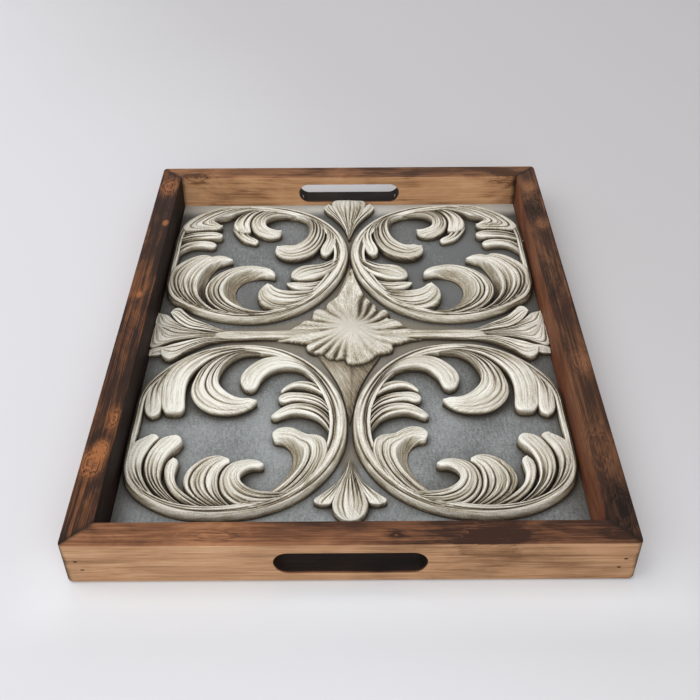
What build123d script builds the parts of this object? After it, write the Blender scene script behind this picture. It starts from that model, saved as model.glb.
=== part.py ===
from build123d import *
import math
import os

# Serving tray: a mitred timber frame with a finger slot in each short rail, nailed at the corners,
# a plywood base pinned into a rebate, a painted ground panel on the base, and carved-look mouldings
# glued on the panel: four leaf scrolls in a two by two layout, a rosette, four fans and two spurs.
# Millimetres, +Z up. The origin is the middle of the footprint, on the surface the tray stands on.
# X runs across the tray and Y along it; the slotted rails are the front (-Y) and the back (+Y).

# ---- driving dimensions -------------------------------------------------------------------------
TRAY_WIDTH = 356.0        # outside, along X
TRAY_LENGTH = 459.0       # outside, along Y
RAIL_HEIGHT = 36.0
RAIL_THICKNESS = 19.0     # planed board
CORNER_RADIUS = 4.0       # the frame's upright outer corners
TOP_EASE = 1.2            # sanded round on the top edges
FOOT_EASE = 2.4           # sanded round on the bottom outer edges

SLOT_LENGTH = 95.5        # finger slot, end to end
SLOT_HEIGHT = 18.5
SLOT_MIDDLE = 18.3        # height of the slot's centre line
SLOT_EASE = 0.8

BASE_THICKNESS = 3.0      # plywood
BASE_RECESS = 0.5         # the base sits this far above the rails' feet
REBATE_WIDTH = 9.0
FIT_CLEARANCE = 0.5       # base in its rebate, and ground panel between the rails
GROUND_THICKNESS = 2.0

BRAD_WIRE_WIDE = 1.2      # corner brads are flat wire
BRAD_WIRE_THIN = 1.0
BRAD_HEAD_WIDE = 2.4
BRAD_HEAD_THIN = 1.2
BRAD_HEAD_DEEP = 0.8
BRAD_LENGTH = 30.0
BRAD_SINK = 0.6           # the head is punched below the timber by this much
BRAD_SPOTS = ((8.7, 21.0), (11.8, 13.0))     # from the tray's side, and height

PIN_RADIUS = 0.7
PIN_HEAD_RADIUS = 1.2
PIN_HEAD_DEEP = 0.6
PIN_LENGTH = 13.0
PIN_PITCH = 110.0         # the most that two base pins stand apart
PIN_CORNER_GAP = 45.0     # from the tray's corner to the first pin

# ---- mouldings ----------------------------------------------------------------------------------
# Drawn on a reference panel and stretched with the opening between the rails.
REFERENCE_PANEL = (318.0, 421.0)
MOULDING_GAP = 0.5        # the least gap from a moulding to a rail
RING_HEIGHT = 7.6
RING_MEAN_BAND = 7.0      # the ring's band is this wide on average...
RING_BAND_SWING = 3.5     # ...and this much wider on the side near the tray's centre line
ROSETTE_HEIGHT = 9.6
ROSETTE_NOTCH = 0.88      # a notch's reach as a share of the petals beside it
FAN_HEIGHT = 6.4
STALK_HEIGHT = 4.8
STALK_HALF_WIDTH = 4.5
STALK_START = 30.0        # under the rosette's petals
STALK_END = 100.0
CROSS_CENTRE = (0.0, 8.0)

# Each scroll's own origin, for the right-hand one and for its mirror image on the left.
FRONT_ORIGINS = ((79.0, -96.0), (-79.0, -96.0))
BACK_ORIGINS = ((79.0, 109.0), (-79.0, 109.0))

# A ring's outer edge, anticlockwise, in its scroll's own coordinates (+X away from the centre line).
FRONT_RING = (
    (-77, -8), (-74, -28), (-66, -47), (-54, -63.5), (-38, -76.5), (-20, -85), (0, -89), (22, -89),
    (42, -84.5), (58, -76), (70, -65), (77.5, -50), (79.5, -25), (79.5, 5), (78.5, 32), (71, 50),
    (57, 67), (40, 80), (20, 87.5), (-2, 88.5), (-24, 83.5), (-43, 72), (-58, 56), (-69, 36), (-75.5, 15),
)
BACK_RING = (
    (-78, 5), (-73, -20), (-63, -43), (-49, -62.5), (-32, -76), (-12, -84.5), (8, -86), (28, -82.5),
    (45, -75.5), (60, -66), (72, -55), (78, -40), (79.5, -15), (79.5, 15), (79, 40), (76, 58),
    (68, 71), (56, 82), (40, 89.5), (20, 92), (-5, 90), (-28, 84), (-46, 74), (-60, 60), (-70, 44), (-76, 26),
)

# A leaf is (name, height, outer edge, inner edge), each edge running from its root to its tip.
FRONT_LEAVES = (
    ("crest_hook", 8.8,
     ((-73, 8), (-66, 34), (-52, 59), (-40, 69), (-27, 72.5), (-13, 70), (-2, 61), (4, 49), (2, 40), (-4, 33.8)),
     ((-66, 12), (-58, 36), (-49, 51), (-40, 57.5), (-30, 59.5), (-20, 57), (-13, 50), (-9.5, 41), (-4, 33.8))),
    ("upper_finger", 7.2,
     ((-70, 10), (-64, 28), (-56, 39.5), (-47, 44), (-38, 43), (-30, 38), (-26.5, 33.5)),
     ((-66, 10), (-60, 24), (-52, 32), (-42, 36), (-33, 35), (-26.5, 33.5))),
    ("middle_finger", 8.2,
     ((-72, -4), (-65, 14), (-55, 26), (-43, 30.5), (-32, 31), (-26.5, 28), (-26, 24)),
     ((-67, -4), (-61, 8), (-51, 16), (-40, 19), (-30, 19.5), (-26, 24))),
    ("lower_finger", 8.6,
     ((-72, -16), (-65, 0), (-56, 12), (-46, 17.5), (-36, 18), (-28, 14), (-22, 5.5)),
     ((-66, -18), (-61, -7), (-53, 2), (-43, 7), (-34, 7.2), (-27, 4), (-22, 5.5))),
    ("side_leaf", 8.8,
     ((-3, -83), (-25, -79), (-42, -68), (-54, -54), (-61.5, -40), (-63.5, -28), (-61.5, -18.5), (-56, -14.5),
      (-49, -13), (-42, -8), (-34, -5.5), (-26, -8), (-24.5, -17)),
     ((-3, -66), (-17, -62.5), (-29, -58.5), (-36.5, -51), (-38.7, -42), (-37.5, -33), (-33, -25.5), (-24.5, -17))),
    ("foot_curl", 9.4,
     ((-52, -66), (-36, -78), (-18, -83.5), (-3, -81), (6, -73), (10, -62), (9.5, -52), (5, -43), (-2, -38.5),
      (-10, -37), (-16, -39), (-19, -43.5)),
     ((-44, -57), (-34, -64.5), (-22, -68), (-12, -67), (-6, -62), (-4, -55), (-7, -49), (-12, -46), (-19, -43.5))),
    ("foot_leaf", 8.4,
     ((-6, -87), (14, -82), (27, -72), (34, -61), (33.5, -51), (28, -42), (20, -35), (11, -33.5), (4, -38.5)),
     ((-14, -80), (1, -76), (8, -66), (9.5, -53), (7, -44), (4, -38.5))),
    ("corner_finger", 7.6,
     ((18, -84), (38, -70), (46, -58), (49, -47), (50.5, -39), (47, -35.5)),
     ((10, -81), (28, -71), (37, -61), (40.5, -50), (40.5, -41), (47, -35.5))),
    ("corner_leaf", 9.2,
     ((38, -83), (55, -67), (62.5, -50), (63, -36), (60, -24), (54, -17), (48, -14.5)),
     ((28, -80), (44, -65), (50.5, -50), (49.5, -38), (43, -28), (40.5, -19.5), (48, -14.5))),
    ("edge_leaf", 8.0,
     ((56, -75), (69, -59), (75, -42), (76.5, -28), (73, -20), (67.5, -14), (61, -12)),
     ((46, -74), (60, -59), (65, -44), (64, -30), (59, -20), (57, -14), (61, -12))),
    ("shoulder_wave", 9.0,
     ((-8, 87), (22, 84), (42, 73), (55, 56), (60.5, 38), (60, 21), (57, 11.5), (44, 10.5)),
     ((-14, 81), (10, 77), (27, 67), (38, 53), (43.5, 39), (43.5, 25), (42, 14), (44, 10.5))),
    ("shoulder_finger", 7.8,
     ((46, 76), (60, 62), (69.5, 46), (73.5, 30), (72.5, 16), (69, 9), (65, 7.5)),
     ((36, 74), (50, 61), (58.5, 45), (61, 30), (60, 16), (65, 7.5))),
    ("heart_hook", 9.4,
     ((-34, 76), (-6, 83), (14, 77.5), (29, 64), (38, 47.5), (39.5, 33), (34.5, 20.5), (25, 12), (13, 8.5),
      (3, 9.3), (-5, 13.5), (-9.5, 21.5)),
     ((-44, 66), (-26, 73), (-8, 71.5), (7, 66), (16, 55.5), (18.5, 45), (16, 35), (9, 27.5), (1, 24), (-9.5, 21.5))),
)
BACK_LEAVES = (
    ("heart_scroll", 9.0,
     ((-12, 86), (-34, 79), (-48, 67), (-56, 51), (-58, 35), (-54, 20), (-46, 8.5), (-36, 2.3), (-26, 0.6),
      (-17.5, 4), (-13, 12), (-15, 20.5)),
     ((-8, 70), (-20, 71.5), (-32, 68.5), (-40, 59), (-43, 48), (-41, 37), (-36, 28), (-28, 22), (-15, 20.5))),
    ("side_finger", 8.0,
     ((-44, 74), (-57, 61), (-65.5, 44), (-67, 30), (-65, 18), (-61.5, 9), (-58, 6.5)),
     ((-40, 68), (-52, 55), (-58, 41), (-58, 28), (-54.5, 19), (-53, 12), (-58, 6.5))),
    ("eye_curl", 9.8,
     ((-32, 83), (-10, 86), (4, 80), (12, 68), (12.5, 56), (8, 45), (0, 38.5), (-8, 36.5), (-15, 39.5), (-17, 50)),
     ((-30, 72), (-13, 71.5), (-4, 66), (-1.5, 58), (-4, 50), (-10, 46.5), (-17, 50))),
    ("crown_leaf", 8.2,
     ((2, 88), (17, 80), (26, 68), (28.5, 58), (25, 50), (17, 43.5)),
     ((-4, 82), (7, 74), (13, 63), (13.5, 53), (11.5, 46), (17, 43.5))),
    ("under_leaf", 5.8,
     ((24, 68), (29, 56), (25, 44), (17, 33), (6, 28)),
     ((14, 62), (16, 50), (12, 40), (4, 33), (6, 28))),
    ("corner_hook", 8.8,
     ((-6, 90), (24, 89), (47, 81), (63, 69), (73, 55), (76, 45), (66, 45), (53, 48.5), (43, 50), (38.5, 55)),
     ((-6, 82), (13, 82), (27, 76), (37, 70), (46, 66), (47, 61.5), (42, 59), (38.5, 55))),
    ("corner_finger", 8.2,
     ((78, 36), (70, 42), (60, 45.5), (50, 47), (41, 47), (37, 40)),
     ((78, 26), (70, 31), (60, 34), (50, 34.5), (41, 33), (37, 40))),
    ("edge_finger", 6.8,
     ((78, 24), (70, 30), (60, 33), (50, 33.5), (43, 31.5), (41, 27)),
     ((78, 13), (72, 22), (62, 27), (52, 28), (45, 26), (41, 27))),
    ("upper_lobe", 8.6,
     ((-73, 18), (-66, 3), (-57, -5.5), (-48, -8), (-39, -9), (-32, -13), (-28.5, -21.5)),
     ((-74, 2), (-68, -14), (-60, -22.5), (-51, -28), (-42, -30), (-33, -28.5), (-28.5, -21.5))),
    ("under_lobe", 6.0,
     ((-71, -12), (-62, -25), (-52, -29.5), (-42, -31), (-33, -30.5), (-25.5, -33.5)),
     ((-68, -24), (-59, -34), (-51, -40), (-42, -42.5), (-33, -41), (-25.5, -33.5))),
    ("foot_leaf", 8.8,
     ((-66, -30), (-54, -41), (-43, -47), (-32, -48.5), (-23, -47), (-16.5, -43), (-9, -36.5)),
     ((-63, -42), (-51, -56), (-40, -65), (-29, -71), (-18, -72.5), (-8.5, -68), (-2.5, -59), (-2, -47), (-9, -36.5))),
    ("foot_hook", 9.4,
     ((-46, -66), (-22, -82), (4, -83), (24, -75), (37, -62), (43, -47), (42, -33), (35, -21), (24, -13),
      (10, -9.5), (-2, -10.5), (-10.5, -15.5), (-14, -26)),
     ((-40, -62), (-24, -73), (-8, -74), (5, -70), (14, -62), (18.5, -52), (18, -41), (13, -32), (4, -26),
      (-5, -25), (-14, -26))),
    ("outer_leaf", 9.0,
     ((16, -84), (42, -75), (60, -59), (70, -40), (74, -22), (72, -8), (66, 1.5), (58, 6.5), (50, 8), (44, 5.5),
      (37, 7), (30, 5), (24, 0)),
     ((10, -79), (29, -72), (41, -59), (45, -45), (44, -30), (40, -15.5), (33, -5.5), (24, 0))),
)

# The rosette's petal tips on its right half: bearing in degrees, and reach.
ROSETTE_TIPS = (
    (90, 52), (62, 44), (40, 42.5), (23, 41), (8, 49), (-10, 50), (-23, 40), (-37, 40), (-57, 36.5), (-79, 40),
)
# Fan petals as leaves about the cross's centre, one side fan, then the front and back fans' right half.
SIDE_FAN = (
    ("top_petal", FAN_HEIGHT,
     ((84, 4), (105, 7.5), (120, 15), (132, 25), (140, 32), (145, 31.5), (148, 27)),
     ((84, 1), (108, 3), (124, 8), (135, 14), (142, 20), (148, 27))),
    ("upper_petal", FAN_HEIGHT - 0.8,
     ((90, 2), (115, 4), (130, 10), (142, 19), (150, 26), (158.2, 27)),
     ((90, -1), (118, 0), (135, 4), (148, 10), (158.2, 16), (158.2, 27))),
    ("middle_petal", FAN_HEIGHT - 0.4,
     ((90, 2), (120, 3), (140, 8), (158.2, 18)),
     ((90, -3), (120, -5), (140, -9), (158.2, -15), (158.2, 18))),
    ("lower_petal", FAN_HEIGHT - 0.8,
     ((90, 0), (118, -2), (135, -7), (148, -14), (158.2, -14)),
     ((90, -4), (115, -6), (132, -12), (146, -20), (158.2, -22), (158.2, -14))),
    ("bottom_petal", FAN_HEIGHT,
     ((84, -1), (108, -4.5), (124, -9), (136, -15), (144, -20), (148.5, -25)),
     ((84, -4), (105, -8.5), (120, -15.5), (131, -24), (139, -31), (144, -31.5), (148.5, -25))),
)
FRONT_FAN = (
    ("side_petal", FAN_HEIGHT - 0.8,
     ((0.4, -142), (4.5, -155), (11, -166), (18, -173.5), (24, -178.5)),
     ((-0.5, -150), (3, -166), (8, -176), (14, -181), (24, -178.5))),
)
FRONT_FAN_MIDDLE = ((0, -138), (2, -150), (7, -166), (11.5, -180), (11, -189), (6, -195.5), (0, -197.5))
BACK_FAN = (
    ("side_petal", FAN_HEIGHT - 0.8,
     ((0.4, 139), (6, 157), (14, 172), (21, 182), (24, 190), (20, 196)),
     ((-0.5, 148), (6, 168), (12, 182), (16, 192), (20, 196))),
)
BACK_FAN_MIDDLE = ((0, 137), (4, 155), (11, 175), (16, 190), (15, 199), (0, 201.5))
BACK_SPUR = ((0, 98), (1.6, 84), (4.6, 67), (8.5, 54), (13, 42), (14, 30), (0, 26))
FRONT_SPUR = ((0, -104), (1.2, -94), (3.6, -76), (7, -60), (11, -46), (12, -30), (0, -26))

# ---- values that follow -------------------------------------------------------------------------
INNER_WIDTH = TRAY_WIDTH - 2 * RAIL_THICKNESS
INNER_LENGTH = TRAY_LENGTH - 2 * RAIL_THICKNESS
STRETCH_X = INNER_WIDTH / REFERENCE_PANEL[0]
STRETCH_Y = INNER_LENGTH / REFERENCE_PANEL[1]
REBATE_DEPTH = BASE_RECESS + BASE_THICKNESS
GROUND_TOP = REBATE_DEPTH + GROUND_THICKNESS
MITRE_MARGIN = 2.0        # how far the cutting wedges run past the timber
CUT_MARGIN = 1.0          # how far a cut runs past the face it opens


def block(x0, x1, y0, y1, z0, z1):
    """A box between two corners."""
    return Pos((x0 + x1) / 2, (y0 + y1) / 2, (z0 + z1) / 2) * Box(x1 - x0, y1 - y0, z1 - z0)


def prism(face, height, foot=GROUND_TOP):
    """A flat face raised straight up from the given level."""
    return Pos(0, 0, foot) * extrude(face, height, dir=(0, 0, 1))


# ---- timber frame -------------------------------------------------------------------------------
def finger_slot():
    """The slot's cutter, along Y through both short rails."""
    outline = Plane.XZ * Pos(0, SLOT_MIDDLE) * SlotOverall(SLOT_LENGTH, SLOT_HEIGHT)
    return extrude(outline, TRAY_LENGTH, both=True)


def bar(at_x, at_z, wide, thin, outer_end, inner_end, side):
    """A flat bar along Y, its ends at these distances from the tray's middle, towards the given side."""
    y0, y1 = sorted((side * outer_end, side * inner_end))
    return block(at_x - wide / 2, at_x + wide / 2, y0, y1, at_z - thin / 2, at_z + thin / 2)


def brad(at_x, at_z, side):
    """A corner brad driven along Y from the front (side -1) or the back (side 1)."""
    head_top = TRAY_LENGTH / 2 - BRAD_SINK
    head_foot = head_top - BRAD_HEAD_DEEP
    head = bar(at_x, at_z, BRAD_HEAD_WIDE, BRAD_HEAD_THIN, head_top, head_foot, side)
    wire = bar(at_x, at_z, BRAD_WIRE_WIDE, BRAD_WIRE_THIN, head_foot, head_top - BRAD_LENGTH, side)
    return head + wire


def brad_mouth(at_x, at_z, side):
    """The punched hole over a brad's head."""
    face = TRAY_LENGTH / 2
    return bar(at_x, at_z, BRAD_HEAD_WIDE, BRAD_HEAD_THIN, face + CUT_MARGIN, face - BRAD_SINK, side)


def brad_places(side):
    """(x, z, side) of each brad in the rail on that side."""
    return [(hand * (TRAY_WIDTH / 2 - inset), height, side) for hand in (-1, 1) for inset, height in BRAD_SPOTS]


def spread(length):
    """Evenly spaced places along a side, the end ones PIN_CORNER_GAP from the tray's corners."""
    run = length - 2 * PIN_CORNER_GAP
    gaps = max(1, math.ceil(run / PIN_PITCH))
    return [-run / 2 + run * i / gaps for i in range(gaps + 1)]


def pin_places():
    """(x, y) of each base pin, on the middle of the rebate."""
    off_x = INNER_WIDTH / 2 + REBATE_WIDTH / 2
    off_y = INNER_LENGTH / 2 + REBATE_WIDTH / 2
    along_x = [(x, hand * off_y) for hand in (-1, 1) for x in spread(TRAY_WIDTH)]
    along_y = [(hand * off_x, y) for hand in (-1, 1) for y in spread(TRAY_LENGTH)]
    return along_x + along_y


def base_pin(at_x, at_y):
    """A panel pin driven up through the base into a rail, its head flush with the base's underside."""
    head = Pos(at_x, at_y, BASE_RECESS + PIN_HEAD_DEEP / 2) * Cylinder(PIN_HEAD_RADIUS, PIN_HEAD_DEEP)
    wire_length = PIN_LENGTH - PIN_HEAD_DEEP
    wire = Pos(at_x, at_y, BASE_RECESS + PIN_HEAD_DEEP + wire_length / 2) * Cylinder(PIN_RADIUS, wire_length)
    return head + wire


def frame_stock():
    """The whole frame in one piece, before the mitre cuts."""
    stock = block(-TRAY_WIDTH / 2, TRAY_WIDTH / 2, -TRAY_LENGTH / 2, TRAY_LENGTH / 2, 0, RAIL_HEIGHT)
    stock = fillet(stock.edges().filter_by(Axis.Z), CORNER_RADIUS)
    stock = fillet(stock.faces().sort_by(Axis.Z)[-1].edges(), TOP_EASE)
    stock = fillet(stock.faces().sort_by(Axis.Z)[0].edges(), FOOT_EASE)
    well = block(-INNER_WIDTH / 2, INNER_WIDTH / 2, -INNER_LENGTH / 2, INNER_LENGTH / 2,
                 -CUT_MARGIN, RAIL_HEIGHT + CUT_MARGIN)
    stock = stock - well
    rim = stock.faces().filter_by(Axis.Z).sort_by(Axis.Z)[-1]
    stock = fillet(rim.inner_wires()[0].edges(), TOP_EASE)
    rebate = block(-INNER_WIDTH / 2 - REBATE_WIDTH, INNER_WIDTH / 2 + REBATE_WIDTH,
                   -INNER_LENGTH / 2 - REBATE_WIDTH, INNER_LENGTH / 2 + REBATE_WIDTH,
                   -CUT_MARGIN, REBATE_DEPTH)
    return stock - rebate


def slot_edges(stock):
    """The slots' edges on the frame's four upright faces."""
    faces_y = (TRAY_LENGTH / 2, INNER_LENGTH / 2)
    reach = SLOT_LENGTH / 2 + CUT_MARGIN
    return [
        e for e in stock.edges()
        if any(abs(abs(e.center().Y) - y) < 1e-3 and abs(e.bounding_box().size.Y) < 1e-3 for y in faces_y)
        and abs(e.center().X) < reach and 0 < e.center().Z < RAIL_HEIGHT - TOP_EASE
        and abs(e.center().Z - SLOT_MIDDLE) <= SLOT_HEIGHT / 2 + 1e-3
    ]


def end_wedge(side):
    """The region of a short rail: its mitres run at 45 degrees from the frame's corners."""
    half_x, half_y = TRAY_WIDTH / 2, TRAY_LENGTH / 2
    inward = RAIL_THICKNESS + MITRE_MARGIN
    outline = Polyline(
        (-half_x - MITRE_MARGIN, -half_y - MITRE_MARGIN), (half_x + MITRE_MARGIN, -half_y - MITRE_MARGIN),
        (half_x - inward, -half_y + inward), (-half_x + inward, -half_y + inward), close=True)
    wedge = prism(make_face(outline), RAIL_HEIGHT + 2 * CUT_MARGIN, -CUT_MARGIN)
    return wedge if side < 0 else mirror(wedge, about=Plane.XZ)


def rails():
    """The four mitred rails with their slots and nail holes."""
    stock = frame_stock() - finger_slot()
    stock = fillet(slot_edges(stock), SLOT_EASE)
    nails = [brad(*place) for side in (-1, 1) for place in brad_places(side)]
    mouths = [brad_mouth(*place) for side in (-1, 1) for place in brad_places(side)]
    pins = [base_pin(*place) for place in pin_places()]
    stock = stock.cut(*nails, *mouths, *pins)
    front = stock & end_wedge(-1)
    back = stock & end_wedge(1)
    sides = (stock - end_wedge(-1) - end_wedge(1)).solids().sort_by(Axis.X)
    return {"rail_front": front, "rail_back": back, "rail_left": sides[0], "rail_right": sides[-1]}


# ---- base and ground ----------------------------------------------------------------------------
def base_board():
    """The plywood base in its rebate, drilled for the pins."""
    half_x = INNER_WIDTH / 2 + REBATE_WIDTH - FIT_CLEARANCE
    half_y = INNER_LENGTH / 2 + REBATE_WIDTH - FIT_CLEARANCE
    board = block(-half_x, half_x, -half_y, half_y, BASE_RECESS, REBATE_DEPTH)
    return board.cut(*[base_pin(*place) for place in pin_places()])


def ground_panel():
    """The painted panel that the mouldings are glued to."""
    half_x = INNER_WIDTH / 2 - FIT_CLEARANCE
    half_y = INNER_LENGTH / 2 - FIT_CLEARANCE
    return block(-half_x, half_x, -half_y, half_y, REBATE_DEPTH, GROUND_TOP)


# ---- mouldings ----------------------------------------------------------------------------------
def on_panel(point, origin=(0.0, 0.0), hand=1):
    """A point of a drawing on the reference panel, mirrored if hand is -1, stretched to this tray's panel."""
    limit_x = INNER_WIDTH / 2 - MOULDING_GAP
    x = (origin[0] + hand * point[0]) * STRETCH_X
    return max(-limit_x, min(limit_x, x)), (origin[1] + point[1]) * STRETCH_Y


def leaf_face(leaf, origin, hand):
    """A leaf's outline: two edges that meet at the tip, closed across the root."""
    outer = [on_panel(p, origin, hand) for p in leaf[2]]
    inner = [on_panel(p, origin, hand) for p in leaf[3]]
    return make_face([Spline(*outer), Spline(*inner), Line(outer[0], inner[0])])


def ring_face(ring, origin, hand):
    """A ring's band, between its outer edge and the same edge moved in by the band's width."""
    outer = [on_panel(p, origin, hand) for p in ring]
    inner = []
    for x, y in ring:
        reach = math.hypot(x, y)
        band = RING_MEAN_BAND - RING_BAND_SWING * x / reach
        share = 1 - band / reach
        inner.append(on_panel((x * share, y * share), origin, hand))
    return make_face(Spline(*outer, periodic=True)) - make_face(Spline(*inner, periodic=True))


def scroll(ring, leaves, origin, hand):
    """A leaf scroll: the ring and its leaves, moulded in one."""
    whole = prism(ring_face(ring, origin, hand), RING_HEIGHT)
    for leaf in leaves:
        whole = whole + prism(leaf_face(leaf, origin, hand), leaf[1])
    return whole


def rosette_outline():
    """Points round the rosette, a tip and a notch in turn."""
    left = [(180 - bearing, reach) for bearing, reach in ROSETTE_TIPS if bearing != 90]
    tips = sorted([*ROSETTE_TIPS, *left])
    points = []
    for i, (bearing, reach) in enumerate(tips):
        next_bearing, next_reach = tips[(i + 1) % len(tips)]
        step = (next_bearing - bearing) % 360
        notch = ROSETTE_NOTCH * (reach + next_reach) / 2
        for angle, r in ((bearing, reach), (bearing + step / 2, notch)):
            a = math.radians(angle)
            points.append(on_panel((r * math.cos(a), r * math.sin(a)), CROSS_CENTRE))
    return points


def rosette():
    """The centre flower."""
    return prism(make_face(Spline(*rosette_outline(), periodic=True)), ROSETTE_HEIGHT)


def mirrored_face(half):
    """A face from the points of its right half, which start and end on the centre line."""
    right = [on_panel(p, CROSS_CENTRE) for p in half]
    left = [on_panel(p, CROSS_CENTRE, -1) for p in half]
    return make_face([Spline(*right), Spline(*left)])


def side_fan(hand, flower):
    """A fan at the tray's side with its stalk to the rosette."""
    stalk_face = make_face(Polyline(
        on_panel((STALK_START, -STALK_HALF_WIDTH), CROSS_CENTRE, hand),
        on_panel((STALK_END, -STALK_HALF_WIDTH), CROSS_CENTRE, hand),
        on_panel((STALK_END, STALK_HALF_WIDTH), CROSS_CENTRE, hand),
        on_panel((STALK_START, STALK_HALF_WIDTH), CROSS_CENTRE, hand), close=True))
    whole = prism(stalk_face, STALK_HEIGHT)
    for leaf in SIDE_FAN:
        whole = whole + prism(leaf_face(leaf, CROSS_CENTRE, hand), leaf[1])
    return whole - flower


def end_fan(petals, middle):
    """A fan at the front or the back of the tray."""
    whole = prism(mirrored_face(middle), FAN_HEIGHT)
    for leaf in petals:
        for hand in (-1, 1):
            whole = whole + prism(leaf_face(leaf, CROSS_CENTRE, hand), leaf[1])
    return whole


def mouldings():
    """Every moulding, by node name."""
    flower = rosette()
    made = {"rosette": flower}
    for row, ring, leaves, origins in (("front", FRONT_RING, FRONT_LEAVES, FRONT_ORIGINS),
                                       ("back", BACK_RING, BACK_LEAVES, BACK_ORIGINS)):
        for hand, side, origin in ((1, "right", origins[0]), (-1, "left", origins[1])):
            made[f"scroll_{row}_{side}"] = scroll(ring, leaves, origin, hand)
    made["fan_right"] = side_fan(1, flower)
    made["fan_left"] = side_fan(-1, flower)
    made["fan_front"] = end_fan(FRONT_FAN, FRONT_FAN_MIDDLE)
    made["fan_back"] = end_fan(BACK_FAN, BACK_FAN_MIDDLE)
    made["spur_back"] = prism(mirrored_face(BACK_SPUR), STALK_HEIGHT) - flower
    made["spur_front"] = prism(mirrored_face(FRONT_SPUR), STALK_HEIGHT) - flower
    half_x, half_y = INNER_WIDTH / 2 - MOULDING_GAP, INNER_LENGTH / 2 - MOULDING_GAP
    well = block(-half_x, half_x, -half_y, half_y, GROUND_TOP, RAIL_HEIGHT)
    return {name: whole & well for name, whole in made.items()}


def build():
    """Every node of the tray, by name."""
    nodes = {**rails(), "base_board": base_board(), "ground_panel": ground_panel(), **mouldings()}
    nodes["corner_brads_front"] = Compound([brad(*place) for place in brad_places(-1)])
    nodes["corner_brads_back"] = Compound([brad(*place) for place in brad_places(1)])
    nodes["base_pins"] = Compound([base_pin(*place) for place in pin_places()])
    return nodes


os.makedirs("parts", exist_ok=True)
for node, shape in build().items():
    shape = shape if isinstance(shape, Compound) else Compound([s for s in shape.solids()])
    shape.label = node
    export_step(shape, f"parts/{node}.step")
    print(f"{node:20s} solids {len(shape.solids())}  volume {shape.volume:10.1f} mm3")
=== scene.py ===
import logging
import math
from dataclasses import dataclass, field, replace
from enum import Enum
from typing import Any, Callable, Iterable, Sequence

import bmesh
import bpy
import numpy as np
from mathutils import Matrix, Vector


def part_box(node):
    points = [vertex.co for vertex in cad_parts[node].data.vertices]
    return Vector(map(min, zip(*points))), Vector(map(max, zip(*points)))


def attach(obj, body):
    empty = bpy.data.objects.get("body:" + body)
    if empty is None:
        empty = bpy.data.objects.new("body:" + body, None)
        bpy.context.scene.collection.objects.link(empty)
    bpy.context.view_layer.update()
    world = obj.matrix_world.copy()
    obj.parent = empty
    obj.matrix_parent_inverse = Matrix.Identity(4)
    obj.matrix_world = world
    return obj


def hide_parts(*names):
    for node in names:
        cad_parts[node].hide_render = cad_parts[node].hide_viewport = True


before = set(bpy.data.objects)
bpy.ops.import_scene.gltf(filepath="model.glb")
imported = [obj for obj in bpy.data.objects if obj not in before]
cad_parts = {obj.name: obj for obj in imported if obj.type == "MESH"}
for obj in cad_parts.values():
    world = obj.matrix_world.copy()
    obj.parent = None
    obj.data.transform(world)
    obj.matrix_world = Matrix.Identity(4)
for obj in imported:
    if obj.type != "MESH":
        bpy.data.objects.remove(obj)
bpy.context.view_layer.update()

LOG = logging.getLogger("serving_tray")
MM = 0.001

Point = tuple[float, float]
Points = tuple[Point, ...]
Colour = tuple[float, float, float]


def shade(red: int, green: int, blue: int) -> Colour:
    """A paint chip's 8-bit screen colour as linear light.

    Args:
        red: red, 0 to 255.
        green: green, 0 to 255.
        blue: blue, 0 to 255.

    Returns:
        The colour as three linear values from 0 to 1.
    """
    def linear(channel: int) -> float:
        """One channel, from screen value to light."""
        c = channel / 255
        return c / 12.92 if c <= 0.04045 else ((c + 0.055) / 1.055) ** 2.4
    return linear(red), linear(green), linear(blue)


def smooth(x: np.ndarray | float, low: float, high: float) -> np.ndarray:
    """A soft step.

    Args:
        x: where to read the step.
        low: where it starts to rise.
        high: where it reaches 1.

    Returns:
        Values from 0 to 1.
    """
    t = np.clip((np.asarray(x, float) - low) / (high - low), 0, 1)
    return t * t * (3 - 2 * t)


def rolled(edge: np.ndarray) -> np.ndarray:
    """How far a rounded edge has dropped: 1 at the edge itself, 0 where the flat begins."""
    return 1 - np.sqrt(1 - (1 - edge) ** 2)


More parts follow.
